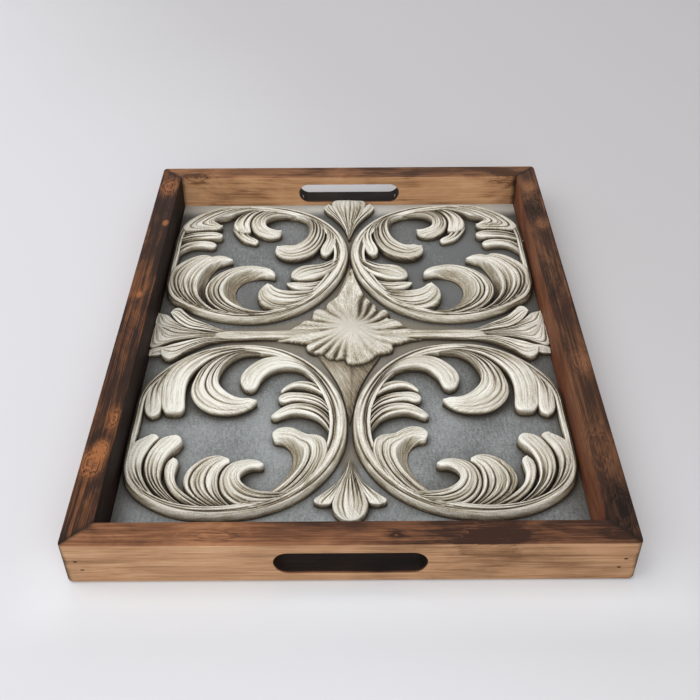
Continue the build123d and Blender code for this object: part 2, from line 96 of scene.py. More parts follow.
# ---- shader maths -------------------------------------------------------------------------------
class Wire:
    """A node's output that takes part in Python arithmetic: each operator adds a Math node."""

    def __init__(self, graph: "Board", socket: bpy.types.NodeSocket) -> None:
        """Keeps the board and the socket."""
        self.graph = graph
        self.socket = socket

    def _math(self, operation: str, first: Any, second: Any = None) -> "Wire":
        """Adds a Math node on one or two values."""
        inputs = {0: first} if second is None else {0: first, 1: second}
        return self.graph.node("ShaderNodeMath", {"operation": operation}, inputs)

    def __add__(self, other: Any) -> "Wire":
        """self + other."""
        return self._math("ADD", self, other)

    def __mul__(self, other: Any) -> "Wire":
        """self * other."""
        return self._math("MULTIPLY", self, other)

    __radd__ = __add__
    __rmul__ = __mul__

    def __sub__(self, other: Any) -> "Wire":
        """self - other."""
        return self._math("SUBTRACT", self, other)

    def __rsub__(self, other: Any) -> "Wire":
        """other - self."""
        return self._math("SUBTRACT", other, self)

    def __truediv__(self, other: Any) -> "Wire":
        """self / other."""
        return self._math("DIVIDE", self, other)

    def __rtruediv__(self, other: Any) -> "Wire":
        """other / self."""
        return self._math("DIVIDE", other, self)

    def __pow__(self, other: Any) -> "Wire":
        """self to a power."""
        return self._math("POWER", self, other)

    def __rpow__(self, other: Any) -> "Wire":
        """other to the power of self."""
        return self._math("POWER", other, self)

    def __neg__(self) -> "Wire":
        """The negative."""
        return self._math("MULTIPLY", self, -1.0)

    def __abs__(self) -> "Wire":
        """The size, without sign."""
        return self._math("ABSOLUTE", self)

    def least(self, other: Any) -> "Wire":
        """The smaller of two."""
        return self._math("MINIMUM", self, other)

    def step(self, low: float, high: float, top: float = 1.0) -> "Wire":
        """A soft step between two values.

        Args:
            low: where the step starts.
            high: where it ends.
            top: its value there.

        Returns:
            The stepped value, from 0 to top.
        """
        settings = {"interpolation_type": "SMOOTHSTEP"}
        return self.graph.node("ShaderNodeMapRange", settings, {0: self, 1: low, 2: high, 3: 0.0, 4: top})


class Board:
    """A node tree, built from Python expressions."""

    def __init__(self, tree: bpy.types.NodeTree) -> None:
        """Keeps the tree."""
        self.tree = tree

    def node(self, kind: str, settings: dict[str, Any] | None = None,
             inputs: dict[str | int, Any] | None = None, output: str | int = 0) -> Wire:
        """Adds a node.

        Args:
            kind: the node's type.
            settings: its properties, set first; "stops" gives a colour ramp's stops.
            inputs: values or wires for its sockets, by name or number.
            output: which output to return.

        Returns:
            The output, as a wire.
        """
        made = self.tree.nodes.new(kind)
        for key, value in (settings or {}).items():
            if key == "stops":
                self._stops(made.color_ramp, value)
            else:
                setattr(made, key, value)
        for key, value in (inputs or {}).items():
            if isinstance(value, Wire):
                self.tree.links.new(value.socket, made.inputs[key])
            else:
                made.inputs[key].default_value = value
        return Wire(self, made.outputs[output])

    @staticmethod
    def _stops(ramp: bpy.types.ColorRamp, stops: Sequence[tuple[float, Colour]]) -> None:
        """Sets a ramp's stops.

        Args:
            ramp: the colour ramp.
            stops: (place, colour) from low to high.
        """
        while len(ramp.elements) < len(stops):
            ramp.elements.new(0.5)
        for element, (place, colour) in zip(ramp.elements, stops):
            element.position = place
            element.color = (*colour, 1.0)

    def noise(self, vector: Wire, scale: float, detail: float = 3.0, rough: float = 0.5,
              bend: float = 0.0) -> Wire:
        """Noise about 0.5.

        Args:
            vector: where to read it.
            scale: its scale.
            detail: how many octaves.
            rough: how strong the fine octaves are.
            bend: its distortion.

        Returns:
            The noise value.
        """
        return self.node("ShaderNodeTexNoise", {"noise_dimensions": "3D"},
                         {"Vector": vector, "Scale": scale, "Detail": detail, "Roughness": rough,
                          "Distortion": bend})


class Graph(Board):
    """A material's node tree."""

    def __init__(self, name: str) -> None:
        """Makes a material with an empty tree.

        Args:
            name: the material's name.
        """
        self.material = bpy.data.materials.new(name)
        self.material.use_nodes = True
        super().__init__(self.material.node_tree)
        self.tree.nodes.clear()

    def ramp(self, factor: Wire, stops: Sequence[tuple[float, Colour]]) -> Wire:
        """A colour from a value, by stops."""
        return self.node("ShaderNodeValToRGB", {"stops": stops}, {0: factor})

    def mix(self, factor: Wire | float, first: Wire | Colour, second: Wire | Colour) -> Wire:
        """Mixes two colours.

        Args:
            factor: how much of the second.
            first: a wire or a colour.
            second: a wire or a colour.

        Returns:
            The mixed colour.
        """
        pair = [c if isinstance(c, Wire) else (*c, 1.0) for c in (first, second)]
        return self.node("ShaderNodeMix", {"data_type": "RGBA"}, {0: factor, 6: pair[0], 7: pair[1]}, 2)

    def place(self) -> Wire:
        """The point on the surface, in metres, in the tray's own frame."""
        return self.node("ShaderNodeTexCoord", output="Object")

    def split(self, vector: Wire) -> tuple[Wire, Wire, Wire]:
        """A vector's three parts."""
        made = self.node("ShaderNodeSeparateXYZ", inputs={0: vector})
        node = made.socket.node
        return tuple(Wire(self, node.outputs[i]) for i in range(3))

    def join(self, x: Wire | float, y: Wire | float, z: Wire | float = 0.0) -> Wire:
        """A vector from three parts."""
        return self.node("ShaderNodeCombineXYZ", inputs={0: x, 1: y, 2: z})

    def grain(self, x: Wire, y: Wire, z: Wire | float, detail: float = 3.0, rough: float = 0.5,
              bend: float = 0.0) -> Wire:
        """Noise on three coordinates, each stretched beforehand.

        Args:
            x: the first coordinate.
            y: the second.
            z: the third.
            detail: how many octaves.
            rough: how strong the fine octaves are.
            bend: its distortion.

        Returns:
            The noise value.
        """
        return self.noise(self.join(x, y, z), 1.0, detail, rough, bend)

    def openness(self, reach: float) -> Wire:
        """How open a place is to what is around it, 0 to 1, within a reach in metres."""
        return self.node("ShaderNodeAmbientOcclusion", {"samples": 8}, {"Distance": reach}, "AO")

    def bump(self, height: Wire, strength: float, distance: float) -> Wire:
        """A bumped normal.

        Args:
            height: the surface's height, about 0 to 1.
            strength: how strong the bump is.
            distance: how deep it is, in metres.

        Returns:
            The normal.
        """
        inputs = {"Strength": strength, "Distance": distance, "Height": height}
        return self.node("ShaderNodeBump", None, inputs)

    def surface(self, fixed: dict[str, Any] | None = None, **linked: Wire | float) -> bpy.types.Material:
        """Ends the tree in a Principled shader.

        Args:
            fixed: values set on the shader's own sockets.
            linked: wires for colour, rough, metal and normal.

        Returns:
            The finished material.
        """
        sockets = {"colour": "Base Color", "rough": "Roughness", "metal": "Metallic", "normal": "Normal"}
        inputs = dict(fixed or {})
        inputs.update({sockets[name]: wire for name, wire in linked.items()})
        shader = self.node("ShaderNodeBsdfPrincipled", None, inputs)
        end = self.tree.nodes.new("ShaderNodeOutputMaterial")
        self.tree.links.new(shader.socket, end.inputs["Surface"])
        return self.material


class Growth(Board):
    """A Geometry Nodes tree."""

    def __init__(self, name: str, inputs: dict[str, str]) -> None:
        """Makes a tree with named inputs.

        Args:
            name: the tree's name.
            inputs: each input's name and socket type.
        """
        super().__init__(bpy.data.node_groups.new(name, "GeometryNodeTree"))
        side = self.tree.interface
        self.keys = {label: side.new_socket(label, in_out="INPUT", socket_type=kind).identifier
                     for label, kind in inputs.items()}
        side.new_socket("Geometry", in_out="OUTPUT", socket_type="NodeSocketGeometry")
        self.entry = self.tree.nodes.new("NodeGroupInput")

    def given(self, label: str) -> Wire:
        """One of the tree's inputs."""
        return Wire(self, self.entry.outputs[label])

    def stored(self, name: str) -> Wire:
        """A number stored at each point."""
        return self.node("GeometryNodeInputNamedAttribute", {"data_type": "FLOAT"}, {"Name": name})

    def sine(self, angle: Wire) -> Wire:
        """The sine of an angle."""
        return self.node("ShaderNodeMath", {"operation": "SINE"}, {0: angle})

    def bell(self, off: Wire) -> Wire:
        """1 on a line, falling away on both sides."""
        return self.node("ShaderNodeMath", {"operation": "EXPONENT"}, {0: -(off * off)})

    def end(self, result: Wire) -> None:
        """Links the result to the tree's output."""
        self.tree.links.new(result.socket, self.tree.nodes.new("NodeGroupOutput").inputs[0])

    def grow(self, host: bpy.types.Object, values: dict[str, Any]) -> bpy.types.Mesh:
        """Runs the tree on an object.

        Args:
            host: the object that it starts from.
            values: the inputs' values, by name.

        Returns:
            The grown mesh.
        """
        modifier = host.modifiers.new(self.tree.name, "NODES")
        modifier.node_group = self.tree
        for label, value in values.items():
            modifier[self.keys[label]] = value
        host.update_tag()
        graph = bpy.context.evaluated_depsgraph_get()
        grown = bpy.data.meshes.new_from_object(host.evaluated_get(graph), preserve_all_data_layers=True,
                                                depsgraph=graph)
        host.modifiers.remove(modifier)
        return grown


# ---- finishes -----------------------------------------------------------------------------------
class Run(Enum):
    """Which way a board's grain runs."""
    ALONG_X = "x"
    ALONG_Y = "y"


@dataclass(frozen=True)
class Knot:
    """A knot in a board: where along it and across it, in metres, and how large."""
    along: float
    across: float
    size: float = 0.010
    pale: float = 1.0


@dataclass(frozen=True)
class StainedTimber:
    """Softwood under a dark stain, uneven, knotty, and scorched along the mitres; each face's colours also
    hold painted light and shade.
    """
    name: str
    run: Run
    seed: float
    half_length: float
    half_across: float
    top: tuple[Colour, Colour, Colour] = (shade(48, 30, 22), shade(98, 62, 42), shade(146, 98, 66))
    outer: tuple[Colour, Colour, Colour] = (shade(96, 62, 40), shade(142, 98, 62), shade(176, 130, 90))
    inner: tuple[Colour, Colour, Colour] = (shade(70, 42, 28), shade(120, 76, 50), shade(156, 104, 70))
    knots: tuple[Knot, ...] = ()
    slot: bool = False
    figure: float = 0.8       # how strongly the grain shows
    patchy: float = 1.7       # how uneven the stain is
    drift: float = 0.0        # how much darker the board's far half is, on top and outside
    height: float = 0.036
    thickness: float = 0.019
    slot_level: float = 0.0183
    slot_end: Point = (0.0484, 0.0492)   # where the slot's shade stops, along the board
    slot_rim: Point = (0.0099, 0.0106)   # and above and below its centre line
    slot_skin: Point = (0.0006, 0.0016)  # and under the board's two faces
    scorched: Colour = shade(30, 20, 15)
    shaded: Colour = shade(18, 12, 10)

    STOPS = (0.08, 0.5, 0.92)
    TURN = (-0.09, 0.05)      # where along the board it grows darker

    def material(self) -> bpy.types.Material:
        """The board's stained surface."""
        g = Graph(self.name)
        x, y, z = g.split(g.place())
        along, across = (x, y) if self.run is Run.ALONG_X else (y, x)
        faces = g.split(g.node("ShaderNodeNewGeometry", output="Normal"))
        side = faces[1] if self.run is Run.ALONG_X else faces[0]
        outward = (side * across).step(-0.02, 0.02)
        sweep = g.grain(along * 5.0, across * 22.0, z * 22.0 + self.seed, 2.0)
        lane = across + (sweep - 0.5) * 0.010
        level = z + (sweep - 0.5) * 0.008
        band = g.grain(along * 8.0 + self.seed, lane * 330.0, level * 330.0, 3.0, 0.55, 0.8)
        fibre = g.grain(along * 30.0, lane * 1500.0, level * 1500.0 + self.seed, 3.0, 0.6)
        blotch = g.grain(along * 16.0, across * 34.0 + self.seed, z * 34.0, 4.0, 0.6, 0.6)
        grain = (band - 0.5) * 1.15 + (fibre - 0.5) * 0.9
        tone = grain * self.figure + (blotch - 0.5) * self.patchy + 0.5
        for knot in self.knots:
            off_along = (along - knot.along) / (knot.size * 1.8)
            off_across = (across - knot.across) / knot.size
            off_up = (z - self.height) / knot.size
            reach = (off_along * off_along + off_across * off_across + off_up * off_up) ** 0.5
            reach = reach + (blotch - 0.5) * 1.8 + (band - 0.5) * 0.8
            rings = g.grain(reach * 6.0, fibre * 2.0, self.seed, 2.0)
            tone = tone + (1.0 - reach.step(0.0, 1.3)) * (rings * 2.4 - 0.85) * knot.pale
        mitre = abs(abs(along) - (self.half_length - self.half_across) - abs(across)) + (blotch - 0.5) * 0.010
        scorch = 1.0 - mitre.step(-0.001, 0.0045)
        darker = along.step(*self.TURN) * self.drift
        # Top, inner and outer faces take their own colour sets: the stain, with painted light and shade for
        # how each face is lit.
        top = g.ramp(tone - darker, list(zip(self.STOPS, self.top)))
        outer = g.ramp(tone - (blotch - 0.5) * 1.0 - darker * 0.4, list(zip(self.STOPS, self.outer)))
        inner = g.ramp(tone, list(zip(self.STOPS, self.inner)))
        sides = g.mix(outward, inner, outer)
        colour = g.mix(faces[2].step(0.35, 0.75), sides, top)
        colour = g.mix(scorch * 0.85, colour, self.scorched)
        if self.slot:
            level_off = abs(z - self.slot_level)
            within = (1.0 - abs(along).step(*self.slot_end)) * (1.0 - level_off.step(*self.slot_rim))
            depth = self.half_across - abs(across)
            buried = depth.step(*self.slot_skin) * (self.thickness - depth).step(*self.slot_skin)
            colour = g.mix(within * buried * 0.95, colour, self.shaded)
        normal = g.bump(fibre * 0.6 + band * 0.4, 0.4, 0.0006)
        return g.surface({"Specular IOR Level": 0.14}, colour=colour, rough=0.70 - tone * 0.12, normal=normal)


@dataclass(frozen=True)
class ReliefPaint:
    """Off-white paint on the mouldings, glazed dark in the hollows, with painted shade in crevices, on walls
    and rolled edges, and a painted highlight along the rims.
    """
    name: str = "relief_paint"
    light: Colour = shade(238, 235, 225)
    middle: Colour = shade(185, 178, 161)
    low: Colour = shade(136, 123, 100)
    deep: Colour = shade(56, 48, 38)

    def material(self) -> bpy.types.Material:
        """The painted relief."""
        g = Graph(self.name)
        along, across, _ = g.split(g.node("ShaderNodeUVMap", {"uv_map": "flow"}))
        hollow = g.node("ShaderNodeAttribute", {"attribute_name": "hollow"}, output="Fac")
        streak = g.grain(along * 0.045, across * 1.1, 0.0, 4.0, 0.6)
        hair = g.grain(along * 0.12, across * 3.2, 3.0, 2.0, 0.5)
        stipple = g.noise(g.place(), 1300.0, 2.0, 0.6)
        patch = g.noise(g.place(), 26.0, 2.0)
        open_air = g.openness(0.007)
        # The open_air term is painted shade, darkening the paint where walls and other mouldings hem it in;
        # the hollow attribute carries glazing with painted shade and highlight.
        tone = (hollow + (streak - 0.5) * 0.85 + (hair - 0.5) * 0.6 + (stipple - 0.5) * 0.6
                + (patch - 0.5) * 0.4 + (0.85 - open_air) * 0.7 + 0.06)
        colour = g.ramp(tone, [(0.0, self.light), (0.33, self.middle), (0.56, self.low), (0.86, self.deep)])
        normal = g.bump(streak * 0.8 + hair * 0.4 + stipple * 0.3, 0.6, 0.0008)
        return g.surface({"Specular IOR Level": 0.3}, colour=colour, rough=0.5 + tone * 0.25, normal=normal)


@dataclass(frozen=True)
class GroundPaint:
    """Blue-grey paint, stippled, with painted shade next to the mouldings and rails."""
    name: str = "ground_paint"
    light: Colour = shade(153, 157, 157)
    dark: Colour = shade(98, 100, 99)
    # painted shade where the panel meets the mouldings and rails
    contact_shade: Colour = shade(62, 55, 46)
    pale: Colour = shade(206, 203, 194)
    sand: Colour = shade(128, 119, 103)
    crossing: float = 0.008   # how far the mouldings' crossing is behind the tray's middle

    def material(self) -> bpy.types.Material:
        """The painted panel."""
        g = Graph(self.name)
        x, y, _ = g.split(g.place())
        drag = g.grain(x * 500.0, y * 160.0, 0.0, 3.0, 0.6)
        weave = g.grain(x * 650.0, y * 650.0, 5.0, 3.0, 0.7)
        patch = g.grain(x * 22.0, y * 22.0, 2.0, 3.0)
        shaded = y.step(-0.12, 0.10) * 0.4 + x.step(0.0, 0.12) * 0.2
        tone = (drag - 0.5) * 0.9 + (weave - 0.5) * 1.3 + (patch - 0.5) * 1.2 + 0.6 - shaded
        open_air = g.openness(0.026)
        margin = (y + (patch - 0.5) * 0.012).step(0.187, 0.201) * 0.85
        between = 1.0 - (abs(x) * abs(y - self.crossing)).step(0.00075, 0.00115)
        colour = g.mix(between * 0.8, g.ramp(tone, [(0.15, self.dark), (0.85, self.light)]), self.sand)
        colour = g.mix(margin, colour, self.pale)
        # Painted shade where walls and mouldings hem the panel in, weaker on the pale margin.
        colour = g.mix((1.0 - open_air).step(0.05, 0.65) * (0.85 - margin * 0.7), colour, self.contact_shade)
        normal = g.bump(drag * 0.4 + weave * 0.6, 0.5, 0.0005)
        return g.surface({"Specular IOR Level": 0.3}, colour=colour, rough=0.62 + (patch - 0.5) * 0.2,
                         normal=normal)


@dataclass(frozen=True)
class Plywood:
    """Bare birch plywood."""
    name: str = "bare_plywood"
    light: Colour = shade(206, 178, 140)
    dark: Colour = shade(168, 134, 94)

    def material(self) -> bpy.types.Material:
        """The board's face, its grain along the tray."""
        g = Graph(self.name)
        x, y, z = g.split(g.place())
        sweep = g.grain(x * 14.0, y * 3.0, z * 20.0, 2.0)
        figure = g.grain((x + (sweep - 0.5) * 0.05) * 160.0, y * 5.0, z * 600.0, 4.0, 0.6, 0.4)
        fibre = g.grain(x * 1800.0, y * 50.0, z * 1800.0, 2.0)
        tone = figure + (fibre - 0.5) * 0.5
        colour = g.ramp(tone, [(0.3, self.dark), (0.7, self.light)])
        return g.surface({"Specular IOR Level": 0.3}, colour=colour, rough=0.62 + (fibre - 0.5) * 0.2,
                         normal=g.bump(fibre, 0.3, 0.0003))


@dataclass(frozen=True)
class NailSteel:
    """Steel wire, dull from the stain wiped over it or bright from the box."""
    name: str
    light: Colour
    dark: Colour

    def material(self) -> bpy.types.Material:
        """The steel's surface."""
        g = Graph(self.name)
        scratch = g.noise(g.place(), 2600.0, 3.0, 0.6)
        colour = g.ramp(scratch, [(0.3, self.dark), (0.7, self.light)])
        return g.surface(None, colour=colour, metal=0.6 + scratch * 0.4, rough=0.35 + scratch * 0.3,
                         normal=g.bump(scratch, 0.2, 0.00005))


@dataclass(frozen=True)
class TablePaint:
    """The pale floor."""
    name: str = "pale_floor"
    near: Colour = shade(209, 209, 212)
    far: Colour = shade(190, 188, 189)
    # painted light: the paler floor in front of the tray, where the tray's shadow would fall
    worn: Colour = shade(223, 225, 228)

    def material(self) -> bpy.types.Material:
        """A matt floor with painted shade that darkens it towards the back and the right, and a painted pool
        of light in front of the tray.
        """
        g = Graph(self.name)
        x, y, _ = g.split(g.place())
        drift = g.noise(g.place(), 2.0, 2.0)
        tone = (y + x * 1.6 + (drift - 0.5) * 0.3).step(-0.3, 0.55)
        # Painted pool of light just in front of the tray.
        light_pool = (1.0 - abs(x).step(0.15, 0.24)) * (1.0 - abs(y + 0.232).step(0.008, 0.048))
        colour = g.mix(light_pool, g.mix(tone, self.near, self.far), self.worn)
        return g.surface({"Specular IOR Level": 0.1}, colour=colour, rough=0.9 + (drift - 0.5) * 0.1)


# ---- curves -------------------------------------------------------------------------------------
def follow(points: Sequence[Point], closed: bool = False, fine: int = 24) -> np.ndarray:
    """A smooth curve through points.

    Args:
        points: the points it goes through.
        closed: whether it returns to its first point.
        fine: how many pieces each span is cut into.

    Returns:
        The curve's points, one per row.
    """
    p = np.array(points, float)
    if closed:
        p = np.vstack([p[-1], p, p[0], p[1]])
    else:
        p = np.vstack([2 * p[0] - p[1], p, 2 * p[-1] - p[-2]])
    knots = np.concatenate([[0], np.cumsum(np.linalg.norm(np.diff(p, axis=0), axis=1) ** 0.5)])
    out = []
    for i in range(1, len(p) - 2):
        t0, t1, t2, t3 = knots[i - 1:i + 3]
        t = np.linspace(t1, t2, fine, endpoint=False)[:, None]
        a1 = (t1 - t) / (t1 - t0) * p[i - 1] + (t - t0) / (t1 - t0) * p[i]
        a2 = (t2 - t) / (t2 - t1) * p[i] + (t - t1) / (t2 - t1) * p[i + 1]
        a3 = (t3 - t) / (t3 - t2) * p[i + 1] + (t - t2) / (t3 - t2) * p[i + 2]
        b1 = (t2 - t) / (t2 - t0) * a1 + (t - t0) / (t2 - t0) * a2
        b2 = (t3 - t) / (t3 - t1) * a2 + (t - t1) / (t3 - t1) * a3
        out.append((t2 - t) / (t2 - t1) * b1 + (t - t1) / (t2 - t1) * b2)
    out.append(p[-2][None])
    return np.vstack(out)


def swapped(points: Points) -> Points:
    """Points with left and right swapped."""
    return tuple((-x, y) for x, y in points)


def spaced(curve: np.ndarray, shares: np.ndarray) -> np.ndarray:
    """Points at given shares of a curve's length.

    Args:
        curve: the curve's points.
        shares: shares of its length, 0 to 1.

    Returns:
        One point per share.
    """
    run = np.concatenate([[0], np.cumsum(np.linalg.norm(np.diff(curve, axis=0), axis=1))])
    at = np.asarray(shares) * run[-1]
    return np.stack([np.interp(at, run, curve[:, axis]) for axis in range(curve.shape[1])], axis=1)


# ---- meshes -------------------------------------------------------------------------------------
@dataclass
class Shell:
    """A mesh in the making: corners in millimetres, faces, and what the paint reads at each corner."""
    corners: list[np.ndarray] = field(default_factory=list)
    faces: list[tuple[int, ...]] = field(default_factory=list)
    flow: list[np.ndarray] = field(default_factory=list)
    hollow: list[np.ndarray] = field(default_factory=list)
    count: int = 0

    def add(self, grid: np.ndarray, flow: np.ndarray, hollow: np.ndarray, round_trip: bool = False) -> None:
        """Adds a stack of closed loops, skinned, its two ends closed unless it comes round to its start.

        Args:
            grid: corners, (loops, points in a loop, 3), in millimetres.
            flow: the paint's (along, across) at each corner, in millimetres.
            hollow: how dark the paint is at each corner, 0 to 1, from glazing, painted shade and painted
                highlight.
            round_trip: whether the last loop joins the first.
        """
        rows, columns = grid.shape[:2]
        start = self.count
        self.corners.append(grid.reshape(-1, 3))
        self.flow.append(flow.reshape(-1, 2))
        self.hollow.append(hollow.reshape(-1))
        for i in range(rows if round_trip else rows - 1):
            this, following = start + i * columns, start + (i + 1) % rows * columns
            for j in range(columns):
                k = (j + 1) % columns
                self.faces.append((this + j, this + k, following + k, following + j))
        if not round_trip:
            self.faces.append(tuple(start + j for j in reversed(range(columns))))
            last = start + (rows - 1) * columns
            self.faces.append(tuple(last + j for j in range(columns)))
        self.count += rows * columns

    def piece(self, name: str, material: bpy.types.Material, mirrored: bool = False,
              shift: Vector = Vector()) -> bpy.types.Object:
        """Makes the object.

        Args:
            name: its name.
            material: its finish.
            mirrored: whether to swap left and right first.
            shift: where its own origin goes, in metres.

        Returns:
            The object, at the scene's origin.
        """
        corners = np.vstack(self.corners) * MM
        if mirrored:
            corners[:, 0] *= -1
        corners += np.array(shift)
        mesh = bpy.data.meshes.new(name)
        mesh.from_pydata(corners.tolist(), [], self.faces)
        loops = np.empty(len(mesh.loops), int)
        mesh.loops.foreach_get("vertex_index", loops)
        uv = mesh.uv_layers.new(name="flow")
        uv.data.foreach_set("uv", np.vstack(self.flow)[loops].ravel().astype(np.float32))
        stored(mesh, "hollow", np.concatenate(self.hollow))
        mesh.materials.append(material)
        return finished(name, mesh)


def stored(mesh: bpy.types.Mesh, label: str, values: Sequence[float]) -> None:
    """Stores a number at each corner of a mesh.

    Args:
        mesh: the mesh.
        label: the numbers' name.
        values: one number per corner.
    """
    numbers = np.asarray(values, np.float32)
    mesh.attributes.new(label, "FLOAT", "POINT").data.foreach_set("value", numbers)


def finished(name: str, mesh: bpy.types.Mesh) -> bpy.types.Object:
    """Welds a mesh, turns its faces outwards, shades it and links it.

    Args:
        name: the object's name.
        mesh: its mesh.

    Returns:
        The object.
    """
    work = bmesh.new()
    work.from_mesh(mesh)
    bmesh.ops.remove_doubles(work, verts=work.verts, dist=2e-6)
    bmesh.ops.dissolve_degenerate(work, edges=work.edges, dist=1e-6)
    bmesh.ops.recalc_face_normals(work, faces=work.faces)
    work.to_mesh(mesh)
    work.free()
    mesh.shade_smooth()
    mesh.set_sharp_from_angle(angle=math.radians(52))
    made = bpy.data.objects.new(name, mesh)
    bpy.context.scene.collection.objects.link(made)
    return made


# ---- leaves -------------------------------------------------------------------------------------
@dataclass(frozen=True)
class Grooves:
    """The dark cuts between a leaf's strands: where each is, how far it runs and how deep it is."""
    places: np.ndarray
    ends: np.ndarray
    depths: np.ndarray

    KERF = 0.7                # how wide the sharp bottom of a cut is, in millimetres
    DARK_DEPTH = 0.9          # how deep a cut is that holds all the glaze

    @classmethod
    def cut(cls, strands: int, reach: float, depth: float, rng: np.random.Generator) -> "Grooves":
        """Spaces the cuts unevenly, with a hairline inside each strand.

        Args:
            strands: how many strands the cuts divide.
            reach: the share of the leaf's length that they run.
            depth: how deep they are, in millimetres.
            rng: where their unevenness comes from.

        Returns:
            The cuts.
        """
        main = (np.arange(1, strands) + rng.uniform(-0.2, 0.2, strands - 1)) / strands
        hair = (np.arange(3 * strands) + rng.uniform(0.2, 0.8, 3 * strands)) / (3 * strands)
        ends = rng.uniform(0.8, 1.3, len(main)), rng.uniform(0.5, 1.3, len(hair))
        depths = rng.uniform(0.6, 1.15, len(main)), rng.uniform(0.12, 0.45, len(hair))
        return cls(np.concatenate([main, hair]), reach * np.concatenate(ends), depth * np.concatenate(depths))

    def carve(self, t: np.ndarray, u: np.ndarray, width: np.ndarray,
              strands: int) -> tuple[np.ndarray, np.ndarray]:
        """The cuts' depth and darkness.

        Args:
            t: shares of the way from root to tip.
            u: shares of the way across the strands.
            width: the strands' width together at each t, in millimetres.
            strands: how many there are.

        Returns:
            Depth in millimetres and darkness, (len(t), len(u)).
        """
        spacing = (width / strands)[:, None] + 1e-6
        deep, dark = np.zeros((len(t), len(u))), np.zeros((len(t), len(u)))
        for place, end, depth in zip(self.places, self.ends, self.depths):
            drift = place + 0.035 * np.sin(4.4 * t + 9.0 * place) * np.sin(math.pi * place)
            off = np.abs((u[None] - drift[:, None]) * width[:, None])
            fade = (1 - 0.78 * smooth(t, end * 0.4, end) - 0.22 * smooth(t, 0.86, 0.99))[:, None]
            narrow = np.exp(-(off / np.minimum(self.KERF, 0.26 * spacing)) ** 2)
            broad = np.exp(-(off / (0.36 * spacing)) ** 2)
            weight = min(1.0, depth / self.DARK_DEPTH)
            deep += np.minimum(depth, 0.5 * spacing) * fade * (0.66 * narrow + 0.24 * broad)
            dark = np.maximum(dark, fade * weight * (0.82 * narrow + 0.14 * broad))
        return deep, dark


